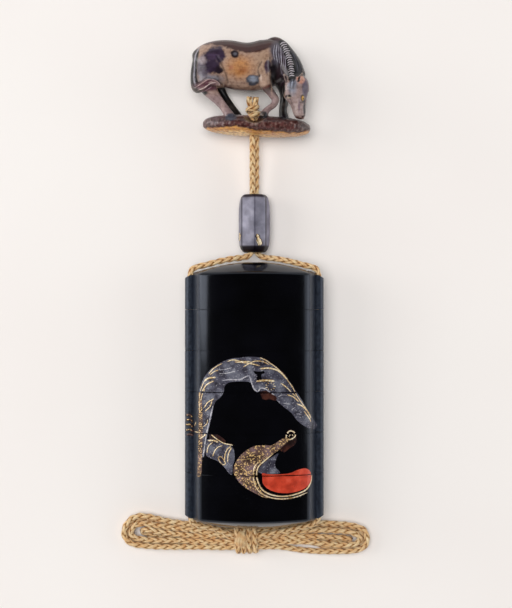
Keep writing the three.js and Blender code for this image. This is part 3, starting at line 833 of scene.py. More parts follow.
def field(name, points, lift, finish):
    """A thin flat area of the picture, laid on the curved front and cut at the seams."""
    ring = round_about(points)
    bpy.ops.object.select_all(action="DESELECT")
    data = bpy.data.meshes.new(name)
    data.from_pydata([(x * MM, y * MM, 0) for x, y in ring], [], [range(len(ring))])
    piece = bpy.data.objects.new(name, data)
    bpy.context.scene.collection.objects.link(piece)
    bpy.context.view_layer.objects.active = piece
    piece.select_set(True)
    bpy.ops.object.mode_set(mode="EDIT")
    bpy.ops.mesh.select_all(action="SELECT")
    bpy.ops.mesh.quads_convert_to_tris()
    low, high = ring.min(0), ring.max(0)
    for x in [*np.arange(math.ceil(low[0]), high[0]), *(-SIDE_PROFILE[:, 0]), *SIDE_PROFILE[:, 0]]:
        if low[0] < x < high[0]:
            bpy.ops.mesh.select_all(action="SELECT")
            bpy.ops.mesh.bisect(plane_co=(x * MM, 0, 0), plane_no=(1, 0, 0))
    for seam in SEAMS:
        for y in (seam - SEAM_GAP, seam + SEAM_GAP):
            if low[1] < y < high[1]:
                bpy.ops.mesh.select_all(action="SELECT")
                bpy.ops.mesh.bisect(plane_co=(0, y * MM, 0), plane_no=(0, 1, 0))
        select_faces(piece, lambda c, n: abs(c.y / MM - seam) < SEAM_GAP)
        bpy.ops.mesh.delete(type="FACE")
    bpy.ops.object.mode_set(mode="OBJECT")
    for vertex in data.vertices:
        x, y = vertex.co.x / MM, vertex.co.y / MM
        vertex.co = to_frame((x, y, front_height(x) - SUNK))
    if data.polygons[0].normal.z < 0:
        data.flip_normals()
    shape(piece, "SOLIDIFY", thickness=(lift + SUNK) * MM, offset=1)
    piece.data.materials.append(finish)
    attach(piece, "root")
    return piece


def strokes(name, lines, lift, finish, spread=1.0, height=front_height):
    """Brush strokes (width, points) on the front: low rounded ribbons that taper at their ends."""
    points, faces = [], []
    for width, line in lines:
        way = evenly(spline([(*p, 0) for p in line], 8), 0.3)[0]
        ahead = np.gradient(way, axis=0)
        ahead /= np.linalg.norm(ahead, axis=1)[:, None] + 1e-9
        side = np.stack([-ahead[:, 1], ahead[:, 0]], 1)
        reach = np.linspace(0, 1, len(way))
        half = 0.5 * width * spread * np.clip(2.4 * np.sin(math.pi * reach) ** 0.6, 0.25, 1)
        half *= 1 + 0.18 * np.sin(np.arange(len(way)) * 1.7 + 9 * line[0][0])
        run = []
        for k in range(len(way) + 1):
            stop = k == len(way) or min(abs(way[k, 1] - seam) for seam in SEAMS) < SEAM_GAP
            if not stop:
                run.append(k)
                continue
            if len(run) > 1:
                base = len(points)
                for j in run:
                    for across, rise in ((-1, -SUNK), (-0.8, 0.7), (0, 1), (0.8, 0.7), (1, -SUNK)):
                        x, y = way[j, :2] + side[j] * across * half[j]
                        z = height(x, y) + (rise * lift if rise > 0 else rise)
                        points.append((x, y, z))
                for j in range(len(run) - 1):
                    for i in range(5):
                        a, b = base + 5 * j + i, base + 5 * j + (i + 1) % 5
                        faces.append((a, b, b + 5, a + 5)[::-1])
                last = base + 5 * (len(run) - 1)
                faces.append((base, base + 1, base + 2, base + 3, base + 4))
                faces.append((last + 4, last + 3, last + 2, last + 1, last))
            run = []
    piece = mesh_piece(name, points, faces)
    piece.data.materials.append(finish)
    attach(piece, "root")
    return piece


def powder(name, low, middle, high, fleck, fleck_share, metallic, roughness, grain):
    """Metal powder in lacquer: a mottled ground, with brighter grains of fleck, grain mm apart."""
    made, tree = material(name)
    where = add(tree, "TexCoord", out="Object")
    drift = add(tree, "TexNoise", {"Vector": where, "Scale": 330.0, "Detail": 4.0})
    ground = add(tree, "ValToRGB", {"Fac": drift}, [(0.34, low), (0.5, middle), (0.66, high)])
    grains = add(tree, "TexNoise", {"Vector": where, "Scale": 1000 / grain, "Detail": 1.0})
    edge = 1 - fleck_share
    lit = add(tree, "ValToRGB", {"Fac": grains}, [(edge - 0.04, 0.0), (edge + 0.03, 1.0)])
    colour = add(tree, "Mix", {0: lit, 6: ground, 7: linear(fleck)}, **MIX)
    relief = add(tree, "Bump", {"Height": grains, "Strength": 0.5, "Distance": 0.0001})
    shader = add(
        tree,
        "BsdfPrincipled",
        {"Base Color": colour, "Metallic": metallic, "Roughness": roughness, "Normal": relief},
    )
    add(tree, "OutputMaterial", {"Surface": shader})
    return made


# Pewter and silver dust, blue grey and cloudy; gold dust, bright on the strokes; gold flakes
# strewn on brown; and cinnabar red, the one warm colour of the picture.
pewter = powder("pewter_powder", "221E2A", "474654", "6C6E7A", "93929A", 0.34, 0.15, 0.42, 0.5)
silver = powder("silver_powder", "6F6F7C", "9A98A4", "C4C2C8", "E0DDDA", 0.4, 0.25, 0.4, 0.4)
gold = powder("gold_powder", "B08A54", "DFC08C", "F6E4C0", "FFF6DC", 0.42, 0.3, 0.36, 0.35)
rust = powder("rust_lacquer", "0C0505", "221011", "44241C", "6E4430", 0.3, 0.0, 0.3, 0.5)
flecked = powder("gold_flakes", "33201A", "5E4640", "7C646A", "E2BE80", 0.4, 0.2, 0.4, 0.5)
cinnabar = powder("cinnabar_lacquer", "A63320", "C2402A", "D2523C", "7A2A1E", 0.24, 0.0, 0.3, 0.6)

CLOTH = [
    (-19.6, -6), (-19.6, 1), (-18.4, 5), (-16.6, 8), (-13.2, 10.9), (-9.5, 12.8), (-4.7, 13.5),
    (-1.5, 13.8), (2, 13.5), (4.4, 12.3), (7, 10.6), (9.8, 8), (12.4, 5), (14.6, 1.8),
    (17.2, -2.2), (19.4, -6), (21.3, -9.2), (22.6, -11.2), (22, -12.2), (20.4, -12.2),
    (18.3, -11.2), (16.5, -10), (14.8, -8.4), (13.1, -6.1), (10.2, -3.8), (7.6, -1.3),
    (6, 0.4), (4.2, 1.4), (2.4, 1.6), (0.8, 1.4), (-0.6, 2.8), (-1.4, 4.8), (-3, 5.1),
    (-6.2, 5.1), (-9.4, 4.5), (-10.6, 3), (-10.8, 1.2), (-12.2, -0.8), (-13.6, -2),
    (-14.4, -4), (-15.2, -8), (-16.3, -12.5), (-17.2, -17), (-18, -22), (-18.8, -21.5),
    (-18.6, -14), (-19.2, -9),
]  # fmt: skip
FLAP = [
    (-17, -15.9), (-14.3, -15.5), (-12, -16.2), (-9.6, -17.4), (-7.6, -18.1), (-7, -20.4),
    (-7, -22.6), (-7.6, -25), (-7.9, -28), (-9, -27.2), (-10.6, -25.2), (-13.2, -23),
    (-15.5, -22.2), (-16.9, -21.4), (-17.3, -18.6),
]  # fmt: skip
STIRRUP = [
    (2.7, -17.4), (0.1, -17.6), (-2.4, -18.9), (-5, -21.1), (-6.9, -24.1), (-7.3, -26.8),
    (-5.9, -29.7), (-3.2, -32.2), (0.5, -34.4), (4, -35.9), (5.4, -35.6), (2.8, -33.8),
    (0.8, -31), (0.1, -27.9), (0.9, -24.9), (3.1, -22.7), (6.5, -20.5), (8.4, -19.3),
    (10.6, -17.3), (12.1, -15.8), (11.9, -14.9), (10.4, -14.9), (8, -16.3), (5.6, -17.6),
]  # fmt: skip
TREAD = [
    (2.7, -27.2), (4.4, -27.5), (7.5, -27.7), (10.5, -27.6), (13.1, -27.2), (15.4, -26.3),
    (18, -25.9), (19.5, -26.6), (20.2, -28.4), (20, -30.7), (18.3, -32.7), (15.4, -33.9),
    (11, -34.4), (7.2, -33.8), (4.2, -32.3), (2.7, -30),
]  # fmt: skip
STIRRUP_SHADE = [
    (1.3, -27), (1.8, -25.2), (3.8, -23.2), (6.8, -21.2), (8.5, -20.3), (7.6, -22.5),
    (7.4, -25), (9.2, -27.2), (6, -27.5), (2.6, -27.3),
]  # fmt: skip
NECK_SHADE = [
    (8.8, -19.2), (11, -16.8), (12.6, -15.6), (14.9, -15), (14.6, -17), (12.4, -18.6),
    (10, -20.2),
]  # fmt: skip
SIDE_STRAP = [
    (-19.75, 1), (-18.9, 1), (-18.5, -4), (-18.3, -10), (-18.4, -17), (-18.6, -24), (-19, -28.8),
    (-20.2, -29.2), (-20, -24), (-19.9, -17), (-19.8, -10), (-19.8, -4),
]  # fmt: skip
TEAR = [
    (1.8, 1.2), (4, 1.9), (6, 1.1), (8, -0.8), (7.4, -1.7), (5.4, -1.2), (3.8, -1.4),
    (2.4, -0.5),
]  # fmt: skip
HOOK = [
    (-0.4, 8.7), (1.6, 8.6), (3.5, 8.8), (3.6, 7.9), (2.5, 7.6), (2.5, 5.7), (0.9, 5.7),
    (1, 7.5), (-0.2, 7.9),
]  # fmt: skip
FLAP_SHADE = [
    (-16, -13.8), (-13.6, -13.6), (-11.6, -14.6), (-10, -16.2), (-12, -16.4), (-14.4, -15.6),
    (-16.4, -15.4),
]  # fmt: skip

for name, ring, lift, finish, slot in (
    ("picture_neck_shade", NECK_SHADE, 0.015, rust, "black_lacquer"),
    ("picture_flap_shade", FLAP_SHADE, 0.015, rust, "black_lacquer"),
    ("picture_cloth", CLOTH, 0.03, pewter, "pewter_powder"),
    ("picture_flap", FLAP, 0.03, pewter, "pewter_powder"),
    ("picture_stirrup_shade", STIRRUP_SHADE, 0.02, pewter, "pewter_powder"),
    ("picture_side_strap", SIDE_STRAP, 0.05, flecked, "gold_maki_e"),
    ("picture_stirrup", STIRRUP, 0.06, flecked, "gold_maki_e"),
    ("picture_tread", TREAD, 0.04, cinnabar, "red_lacquer"),
    ("picture_tear", TEAR, 0.04, rust, "black_lacquer"),
    ("picture_hook", HOOK, 0.045, lacquer, "black_lacquer"),
):
    field(name, ring, lift, finish)

# Each stroke: its width, then the points that it passes.
GOLD_STROKES = [
    (0.6, [(-17.8, 4.9), (-16.5, 6), (-13.6, 6.5)]),
    (0.45, [(-18.6, 1.2), (-16.9, 3.8), (-14.3, 5.2)]),
    (0.35, [(-19.1, -2.2), (-18.4, 0.4), (-17.5, 2.3)]),
    (0.35, [(-16.2, 7.6), (-14.3, 9.7), (-11.4, 11.4)]),
    (0.35, [(-15.8, 7.3), (-14, 8.6), (-12.7, 9)]),
    (0.4, [(-9.5, 12.1), (-7.6, 12.7), (-4.7, 12.2), (-1.3, 12.1)]),
    (0.45, [(-6.9, 12), (-3.2, 11.7), (-0.2, 11.2), (2, 10.6)]),
    (0.4, [(-3.9, 10.2), (-1.3, 11.7), (0.5, 12.3), (3.1, 12.1), (5.3, 11)]),
    (0.6, [(2, 9.6), (5.3, 9.8), (7.9, 9.1), (9.8, 7.8), (11.5, 5.8)]),
    (0.35, [(5.3, 11.7), (7.6, 10.1), (10.2, 7.5), (12, 5.2)]),
    (0.35, [(2, 13.5), (4.2, 12.5), (6.1, 11.1)]),
    (0.4, [(9.4, 4.5), (11.3, 3), (13.1, 1.2), (14.6, -0.3)]),
    (0.45, [(11.6, 0.4), (13.9, -0.5), (15.7, -2.2)]),
    (0.5, [(15, -2.9), (16.8, -3.7), (18.7, -5.5), (20.4, -8.5), (21.6, -11)]),
    (0.35, [(11.6, 5.6), (13.5, 3), (15, 0), (16.8, -2.6), (19.1, -5.9)]),
    (0.4, [(17.6, -5.5), (19.7, -8.5), (21.2, -11.7)]),
    (0.7, [(0.7, 5.2), (3.9, 5.5), (7.2, 5.2)]),
    (0.3, [(-19.5, -6.3), (-19.5, -1.1), (-19, 1.9), (-17.7, 5.2)]),
    (0.4, [(-17.8, -4.4), (-16.5, -2.5), (-14.3, -1.1)]),
    (0.35, [(-17.5, -5.6), (-15.6, -3.8), (-14.9, -1.6)]),
    (0.4, [(-21.4, -13.3), (-19.5, -13.3), (-16.9, -14.1)]),
    (0.4, [(-19.5, -15.5), (-18.4, -14.8), (-16.9, -13.6)]),
    (0.3, [(-18, -11.1), (-16.7, -9.8), (-16.5, -8.5)]),
    (0.3, [(-21.4, -11.2), (-20.8, -9.6)]),
    (0.6, [(-16.4, -16), (-14.3, -15.9), (-12.7, -16.5)]),
    (0.35, [(-16.8, -20.4), (-16.2, -17.9), (-14.7, -16.5)]),
    (0.35, [(-14.7, -21.5), (-13.9, -19.4), (-12.7, -18.1), (-11.2, -17.6)]),
    (0.4, [(-10.6, -23.5), (-10.2, -20.4), (-9.3, -18.6), (-8.2, -17.9)]),
    (0.35, [(-9.4, -23.5), (-9.2, -20.7), (-8, -18.2)]),
    (0.35, [(-12.8, -21.8), (-11.9, -21.5), (-10.2, -23.6), (-10.6, -24.4), (-11.5, -24)]),
    (0.35, [(-12.8, -21.8), (-12.5, -22.8), (-11.5, -24)]),
    (0.4, [(-15.4, -13.7), (-13.2, -15.4), (-10.6, -16.8), (-7.5, -17.4)]),
    (0.45, [
        (11.2, -15.3), (11.4, -13.8), (12.4, -12.5), (14, -12.9), (14.5, -14.2), (13, -15.4),
        (11.2, -15.3),
    ]),
    (0.3, [(12.2, -14.6), (13.1, -13.3), (13.7, -14.3)]),
    (0.5, [
        (6.8, -20.3), (3.9, -22.6), (1.5, -24.9), (0.8, -27.8), (1.5, -30.8), (3, -33.2),
        (6.2, -34.9), (10.3, -35.5), (14.6, -34.9), (18.3, -33.5), (20.1, -31), (20.6, -28.2),
    ]),
    (0.4, [
        (2.6, -22.4), (0.2, -24.7), (-0.4, -27.8), (0.2, -31.2), (2, -34), (5.7, -35.8),
        (10.3, -36.4), (15, -35.8), (18.9, -34.4),
    ]),
]  # fmt: skip
for n in range(9):  # a small rosette
    turn = 2 * math.pi * n / 9
    near = (5.7 + 1.1 * math.cos(turn), 3.4 + 0.9 * math.sin(turn))
    far = (5.7 + 1.9 * math.cos(turn), 3.4 + 1.5 * math.sin(turn))
    GOLD_STROKES.append((0.35, [near, far]))
RUNNER_WRAPS = [
    (0.5, [(-24.6, -7.6), (-23.4, -7.3), (-22.2, -8.2)]),
    (0.5, [(-24.6, -9.4), (-23.2, -9), (-22, -10)]),
    (0.5, [(-24.6, -11), (-23.2, -10.8), (-21.8, -11.9)]),
    (0.5, [(-24.5, -12.9), (-23.2, -12.6), (-21.8, -13.6)]),
    (0.5, [(-24.4, -14.6), (-23.2, -14.3), (-21.9, -14.8)]),
]
SILVER_STROKES = [
    (0.5, [(-11, 5.4), (-9.1, 5.7), (-4.7, 5.9), (-3.2, 6.7), (-1.7, 7.2)]),
    (0.45, [
        (-1.7, 7.2), (-1.4, 6), (-0.6, 3.8), (0.1, 2.3), (1.3, 1.6), (2.2, 2.7), (3.9, 2.5),
        (5.3, 1.5), (7.2, 0.2),
    ]),
    (0.25, [(8.3, -0.4), (10, 0.3), (11.6, 0.1)]),
    (0.25, [(10.5, -2.7), (12.8, -3)]),
    (0.25, [(13.1, -5), (14.6, -4)]),
    (0.3, [(15, -6.4), (16.8, -6.7)]),
    (0.5, [(-14.6, -3.6), (-15.6, -8), (-16.8, -13), (-17.6, -18), (-18.2, -22)]),
    (0.3, [(-13.8, 9.4), (-11, 9.2), (-8, 9.9)]),
    (0.3, [(-12.4, 7.8), (-9.6, 8), (-6.6, 8.8)]),
]  # fmt: skip
strokes("picture_stroke_ground", GOLD_STROKES + RUNNER_WRAPS, 0.04, rust, 2.0)
strokes("picture_gold_strokes", GOLD_STROKES, 0.1, gold)
strokes("picture_runner_strokes", RUNNER_WRAPS, 0.08, flecked)
strokes("picture_silver_strokes", SILVER_STROKES, 0.07, silver)

# ---- Bead -----------------------------------------------------------------------------------
# The sliding bead (ojime) that keeps the case shut: an eight-sided barrel of patinated copper
# and silver alloy, its edges rubbed, with two small gold plants let into it.

BEAD_LOW, BEAD_HIGH, BEAD_RADIUS, BEAD_Z = 51.1, 72.3, 5.8, 5.8
BEAD_CORNERS = [0.7, 45, 90, 135, 180, 225, 270, 302]  # degrees from the top, to the right
BEAD_PROFILE = [
    (0.62, 0.5), (0.76, 0.48), (0.87, 0.44), (0.94, 0.38), (0.98, 0.28), (1.0, 0.14),
    (1.0, -0.14), (0.98, -0.28), (0.94, -0.38), (0.87, -0.44), (0.76, -0.48), (0.62, -0.5),
]  # fmt: skip

bpy.ops.object.select_all(action="DESELECT")
bpy.ops.mesh.primitive_circle_add(vertices=8, radius=0.005, fill_type="NGON")
bead = bpy.context.object
bead.name = bead.data.name = "bead_body"
for vertex, degrees in zip(bead.data.vertices, BEAD_CORNERS):
    turn = math.radians(degrees)
    vertex.co = to_frame((BEAD_RADIUS * math.sin(turn), 0, BEAD_Z + BEAD_RADIUS * math.cos(turn)))
bpy.ops.object.mode_set(mode="EDIT")
bpy.ops.mesh.select_all(action="SELECT")
for _ in BEAD_PROFILE[1:]:
    draw_out(-1)
bpy.ops.mesh.select_all(action="SELECT")
bpy.ops.mesh.normals_make_consistent(inside=False)
bpy.ops.object.mode_set(mode="OBJECT")
for vertex in bead.data.vertices:
    x, y, z = np.array(vertex.co) / MM
    share, place = BEAD_PROFILE[round(-(y - case_middle / MM))]
    y = (BEAD_LOW + BEAD_HIGH) / 2 + place * (BEAD_HIGH - BEAD_LOW)
    vertex.co = to_frame((x * share, y, BEAD_Z + (z - BEAD_Z) * share))
shape(bead, "BEVEL", width=0.5 * MM, segments=3, angle_limit=0.5)
bpy.ops.mesh.primitive_cylinder_add(
    vertices=40,
    radius=2.75 * MM,
    depth=0.03,
    location=to_frame((0, (BEAD_LOW + BEAD_HIGH) / 2, BEAD_Z)),
    rotation=(math.pi / 2, 0, 0),
)
bore = bpy.context.object
shape(bead, "BOOLEAN", operation="DIFFERENCE", solver="EXACT", object=bore)
bpy.data.objects.remove(bore)
bpy.ops.object.select_all(action="DESELECT")
bead.select_set(True)
bpy.context.view_layer.objects.active = bead
bpy.ops.object.shade_smooth_by_angle(angle=0.5)

patina, tree = material("patinated_copper")
# Shibuichi, a copper and silver alloy, pickled to a violet grey: satin, with painted shade that
# darkens its ends and thin lines along its corners, so that the flats stand paler.
where = add(tree, "TexCoord", out="Object")
cloud = add(tree, "TexNoise", {"Vector": where, "Scale": 260.0, "Detail": 6.0})
tone = add(
    tree, "ValToRGB", {"Fac": cloud}, [(0.3, "6A6876"), (0.5, "807E8D"), (0.7, "9997A6")]
)
bead_ends = [case_middle + y * MM for y in (BEAD_LOW, BEAD_HIGH)]
along = add(
    tree,
    "MapRange",
    {
        "Value": add(tree, "SeparateXYZ", {"Vector": where}, out="Y"),
        "From Min": bead_ends[0],
        "From Max": bead_ends[1],
    },
)
across = add(
    tree,
    "MapRange",
    {
        "Value": add(tree, "SeparateXYZ", {"Vector": where}, out="X"),
        "From Min": -BEAD_RADIUS * MM,
        "From Max": BEAD_RADIUS * MM,
    },
)
END_SHADE = [
    (0.0, "2A1E22"), (0.1, "3C3038"), (0.13, "FFFFFF"),
    (0.93, "FFFFFF"), (0.955, "5A4C5C"), (1.0, "3A2C3A"),
]  # fmt: skip
CORNER_SHADE = [
    (0.07, "FFFFFF"), (0.1, "6A6874"), (0.15, "FFFFFF"), (0.49, "F4F4F4"), (0.512, "A9A8B4"),
    (0.545, "FFFFFF"), (0.83, "FFFFFF"), (0.86, "241C2A"), (0.89, "F0EEF6"),
]  # fmt: skip
colour = tone
# Painted shade at the ends and along the corners.
for place, shade in ((along, END_SHADE), (across, CORNER_SHADE)):
    thick = add(tree, "ValToRGB", {"Fac": place}, shade)
    colour = add(tree, "Mix", {0: 1.0, 6: colour, 7: thick}, **MULTIPLY)
scratch = add(tree, "Mapping", {"Vector": where, "Scale": (2600, 160, 2600)})
brushed = add(tree, "TexNoise", {"Vector": scratch, "Scale": 1.0, "Detail": 2.0})
worn = add(tree, "MapRange", {"Value": brushed, "To Min": 0.34, "To Max": 0.52})
relief = add(tree, "Bump", {"Height": brushed, "Strength": 0.12, "Distance": 0.0001})
shader = add(
    tree,
    "BsdfPrincipled",
    {"Base Color": colour, "Metallic": 0.35, "Roughness": worn, "Normal": relief},
)
add(tree, "OutputMaterial", {"Surface": shader})
bead.data.materials.append(patina)
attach(bead, "root")
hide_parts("bead")


def bead_height(x, y):
    """Height over the table of the bead's front facets at x and y."""
    along = (y - (BEAD_LOW + BEAD_HIGH) / 2) / (BEAD_HIGH - BEAD_LOW)
    places, shares = [p for _, p in BEAD_PROFILE[::-1]], [r for r, _ in BEAD_PROFILE[::-1]]
    share = np.interp(along, places, shares)
    turns = [math.radians(t) for t in (-90, -58, 0.7, 45, 90)]
    corners = [(BEAD_RADIUS * math.sin(t), BEAD_RADIUS * math.cos(t)) for t in turns]
    up = np.interp(x / share, [c[0] for c in corners], [c[1] for c in corners])
    return BEAD_Z + up * share


BEAD_LEAVES = [
    (0.9, [(1.0, 57.7), (1.4, 56.3), (1.8, 54.9), (2.2, 53.6)]),
    (0.7, [(1.9, 56.0), (2.3, 54.8), (2.5, 53.8)]),
    (0.35, [(0.8, 55.6), (1.3, 54.3), (1.7, 53.4)]),
    (0.4, [(-5.35, 58.3), (-5.3, 56.8), (-5.4, 55.3)]),
    (0.35, [(-5.1, 57.6), (-5.2, 56.6)]),
]
strokes("bead_leaf_ground", BEAD_LEAVES, 0.04, rust, 1.9, bead_height)
strokes("bead_leaves", BEAD_LEAVES, 0.12, gold, 1.0, bead_height)

# ---- Toggle -------------------------------------------------------------------------------------
# The netsuke: a grazing horse on a mound, carved from one block of boxwood, stained and polished.
# It was carved as one, so its limbs are drawn first and then melted into a single skin.


def limb(stations, sides=24, per=8):
    """A closed lofted form through (x, y, z, half breadth along XY, half breadth in depth)."""
    stations = np.array(stations, float)
    line = spline(stations[:, :3], per)
    spread = np.linspace(0, len(stations) - 1, len(line))
    sizes = [np.interp(spread, range(len(stations)), stations[:, k]) for k in (3, 4)]
    soft = [np.convolve(np.pad(s, 3, mode="edge"), np.ones(7) / 7, "valid") for s in sizes]
    ahead = np.gradient(line, axis=0)
    ahead /= np.linalg.norm(ahead, axis=1)[:, None]
    across = np.stack([-ahead[:, 1], ahead[:, 0], 0 * ahead[:, 0]], 1)
    across /= np.linalg.norm(across, axis=1)[:, None]
    depth = np.cross(ahead, across)
    turns = np.linspace(0, 2 * math.pi, sides, endpoint=False)
    rings = (
        line[:, None]
        + across[:, None] * (soft[0][:, None] * np.cos(turns))[..., None]
        + depth[:, None] * (soft[1][:, None] * np.sin(turns))[..., None]
    )
    points = [tuple(p) for p in rings.reshape(-1, 3)]
    faces = []
    for k in range(len(line) - 1):
        for i in range(sides):
            a, b = k * sides + i, k * sides + (i + 1) % sides
            faces.append((a, b, b + sides, a + sides))
    for end, way, base in ((0, -1, 0), (-1, 1, (len(line) - 1) * sides)):
        tip = line[end] + way * ahead[end] * 0.6 * min(soft[0][end], soft[1][end])
        points.append(tuple(tip))
        for i in range(sides):
            a, b = base + i, base + (i + 1) % sides
            faces.append((b, a, len(points) - 1) if way < 0 else (a, b, len(points) - 1))
    return points, faces


TRUNK = [
    (-21.0, 23.4, 7.6, 3.0, 2.8), (-20.2, 23.8, 7.6, 5.4, 4.4), (-18.6, 24.6, 7.6, 7.1, 5.7),
    (-16.2, 25.3, 7.6, 8.1, 6.5), (-13.0, 25.7, 7.6, 8.6, 6.9), (-9.0, 25.7, 7.6, 8.6, 6.8),
    (-5.5, 24.9, 7.6, 8.8, 6.8), (-2.0, 24.6, 7.6, 8.9, 6.9), (1.5, 25.1, 7.6, 8.9, 6.9),
    (5.2, 26.3, 7.6, 8.8, 6.5), (8.0, 27.5, 7.6, 7.8, 5.8), (10.1, 28.1, 7.8, 6.1, 4.6),
    (11.4, 27.9, 8.0, 4.2, 3.2),
]  # fmt: skip
NECK = [
    (6.5, 28.4, 7.7, 5.4, 5.2), (9.6, 27.2, 8.2, 5.1, 5.0), (11.8, 24.8, 9.4, 4.4, 4.5),
    (13.5, 22.1, 10.9, 4.0, 4.0), (14.7, 19.3, 12.2, 3.9, 3.5),
]  # fmt: skip
HEAD = [
    (14.6, 20.4, 12.4, 2.8, 2.6), (14.7, 19.2, 12.8, 4.1, 3.4), (14.9, 17.2, 13.2, 4.8, 4.0),
    (14.9, 14.6, 13.4, 4.9, 3.9), (15.3, 12.6, 13.5, 3.8, 3.5), (15.7, 10.8, 13.5, 3.0, 3.0),
    (15.9, 9.0, 13.5, 2.5, 2.5),
    (16.3, 7.2, 13.4, 2.3, 2.2), (16.7, 5.7, 13.2, 1.7, 1.7),
]  # fmt: skip
NEAR_HIND = [
    (-16.2, 22.5, 10.4, 4.8, 3.6), (-16.8, 19.6, 10.7, 4.2, 3.7), (-16.6, 17.0, 11.1, 3.3, 3.1),
    (-15.2, 14.5, 11.7, 2.4, 2.3), (-13.2, 12.1, 12.1, 1.75, 1.75), (-11.2, 9.7, 12.3, 1.5, 1.5),
    (-9.9, 7.8, 12.4, 1.55, 1.6), (-9.2, 6.5, 12.5, 1.95, 1.95), (-8.7, 5.0, 12.6, 2.2, 2.2),
]  # fmt: skip
FAR_HIND = [
    (-14.6, 20.0, 4.9, 4.0, 3.4), (-13.2, 16.7, 4.5, 2.7, 2.6), (-11.1, 13.8, 4.1, 1.8, 1.8),
    (-8.9, 11.1, 3.8, 1.5, 1.5), (-7.1, 8.8, 3.7, 1.4, 1.4), (-6.1, 7.2, 3.6, 1.7, 1.7),
    (-5.6, 5.4, 3.6, 1.9, 1.9),
]  # fmt: skip
NEAR_FORE = [
    (4.6, 23.5, 10.4, 3.8, 3.6), (3.7, 19.6, 11.4, 2.7, 2.8), (4.5, 16.7, 12.0, 1.8, 2.0),
    (6.2, 14.2, 12.3, 1.4, 1.5), (7.6, 12.1, 12.5, 1.4, 1.5), (6.9, 10.2, 12.5, 1.15, 1.2),
    (5.0, 8.8, 12.4, 1.05, 1.1), (4.0, 7.7, 12.4, 1.3, 1.35), (3.1, 6.1, 12.4, 1.7, 1.75),
]  # fmt: skip
FAR_FORE = [
    (8.4, 22.0, 5.6, 3.0, 3.0), (10.4, 17.6, 4.9, 2.0, 2.3), (11.0, 14.4, 4.4, 1.6, 1.7),
    (10.7, 11.6, 4.2, 1.6, 1.7), (10.4, 9.2, 4.1, 1.4, 1.4), (10.7, 7.2, 4.0, 1.7, 1.6),
    (11.0, 5.0, 4.0, 2.1, 2.0),
]  # fmt: skip
TAIL = [
    (-18.4, 31.6, 7.6, 0.9, 1.2), (-20.6, 28.8, 7.8, 1.2, 1.7), (-21.5, 24.6, 8.4, 1.3, 2.1),
    (-21.6, 20.0, 9.8, 1.5, 2.2), (-20.7, 16.3, 12.0, 1.8, 2.0), (-18.8, 16.6, 14.0, 1.6, 1.2),
    (-16.7, 18.1, 14.7, 1.3, 0.9), (-14.4, 17.9, 14.6, 1.1, 0.8), (-12.4, 17.1, 14.0, 0.5, 0.5),
]  # fmt: skip
EARS = [
    [(12.6, 17.8, 15.0, 1.3, 0.9), (11.5, 19.3, 15.9, 1.05, 0.75), (10.5, 20.8, 16.3, 0.3, 0.3)],
    [(16.0, 17.7, 15.6, 1.5, 0.9), (16.6, 19.3, 16.4, 1.25, 0.8), (17.2, 21.1, 16.9, 0.3, 0.3)],
]
CREST = [
    (4.4, 33.1, 7.6, 1.2, 1.6), (7.4, 33.9, 7.6, 1.7, 2.0), (10.0, 32.3, 8.0, 2.0, 2.6),
    (12.4, 29.5, 8.6, 2.0, 3.0), (14.4, 26.8, 9.4, 1.9, 3.2), (16.0, 23.9, 10.6, 1.7, 3.0),
    (17.2, 21.0, 12.0, 1.3, 2.4),
]  # fmt: skip
BROWS = [
    [(16.6, 13.4, 16.0, 0.7, 0.7), (17.3, 12.6, 15.7, 0.85, 0.8), (17.5, 11.4, 15.1, 0.6, 0.6)],
    [(13.0, 13.6, 16.2, 0.5, 0.6), (12.2, 12.9, 15.6, 0.7, 0.7), (11.9, 12.0, 15.0, 0.5, 0.5)],
    [(17.0, 6.6, 14.4, 0.5, 0.6), (17.5, 5.8, 14.1, 0.75, 0.8), (17.4, 5.0, 13.7, 0.4, 0.5)],
]
MANE_LINE = [(10.2, 32.8), (11.7, 29.6), (12.6, 26.6), (13.2, 23.6), (13.3, 21.5), (13.4, 19.4)]


def join_forms(name, forms):
    """One piece from several forms drawn about the toggle's foot."""
    points, faces = [], []
    for form_points, form_faces in forms:
        faces += [tuple(len(points) + i for i in face) for face in form_faces]
        points += [(x, y + TOGGLE_Y, z) for x, y, z in form_points]
    return mesh_piece(name, points, faces)


MOUND_ACROSS, MOUND_ABOVE, MOUND_BELOW, MOUND_DEEP = 19.5, 3.9, 3.6, 8.5  # from its middle
MOUND_TILT, MOUND_BLUNT = -0.045, 2.7
KNOT_DIP = 10.4  # the mound's depth under the middle of the knot


def mound():
    """A blunt-ended slab, a superellipse from the side, with a dip where the knot sits."""
    points, faces = [], []
    sides, belts = 96, 40
    lean, rake = math.cos(MOUND_TILT), math.sin(MOUND_TILT)
    for belt in range(1, belts):
        polar = math.pi * belt / belts
        for i in range(sides):
            turn = 2 * math.pi * i / sides
            x, y = math.sin(polar) * math.cos(turn), math.sin(polar) * math.sin(turn)
            bulk = abs(x) ** MOUND_BLUNT + abs(y) ** MOUND_BLUNT
            swell_out = math.hypot(x, y) / bulk ** (1 / MOUND_BLUNT)
            x = x * swell_out * MOUND_ACROSS
            y = y * swell_out * (MOUND_ABOVE if y > 0 else MOUND_BELOW)
            x, y = 0.8 + x * lean - y * rake, 2.9 + x * rake + y * lean
            z = MOUND_DEEP - MOUND_DEEP * math.cos(polar)
            from_knot = max(math.hypot(x, 1.1 * (y - 7.4)) - 2.2, 0)
            points.append((x, y, min(z, KNOT_DIP + 1.1 * from_knot**2)))
    for belt in range(belts - 2):
        for i in range(sides):
            a, b = belt * sides + i, belt * sides + (i + 1) % sides
            faces.append((a, b, b + sides, a + sides))
    faces.append(tuple(range(sides))[::-1])
    faces.append(tuple((belts - 2) * sides + i for i in range(sides)))
    return points, faces


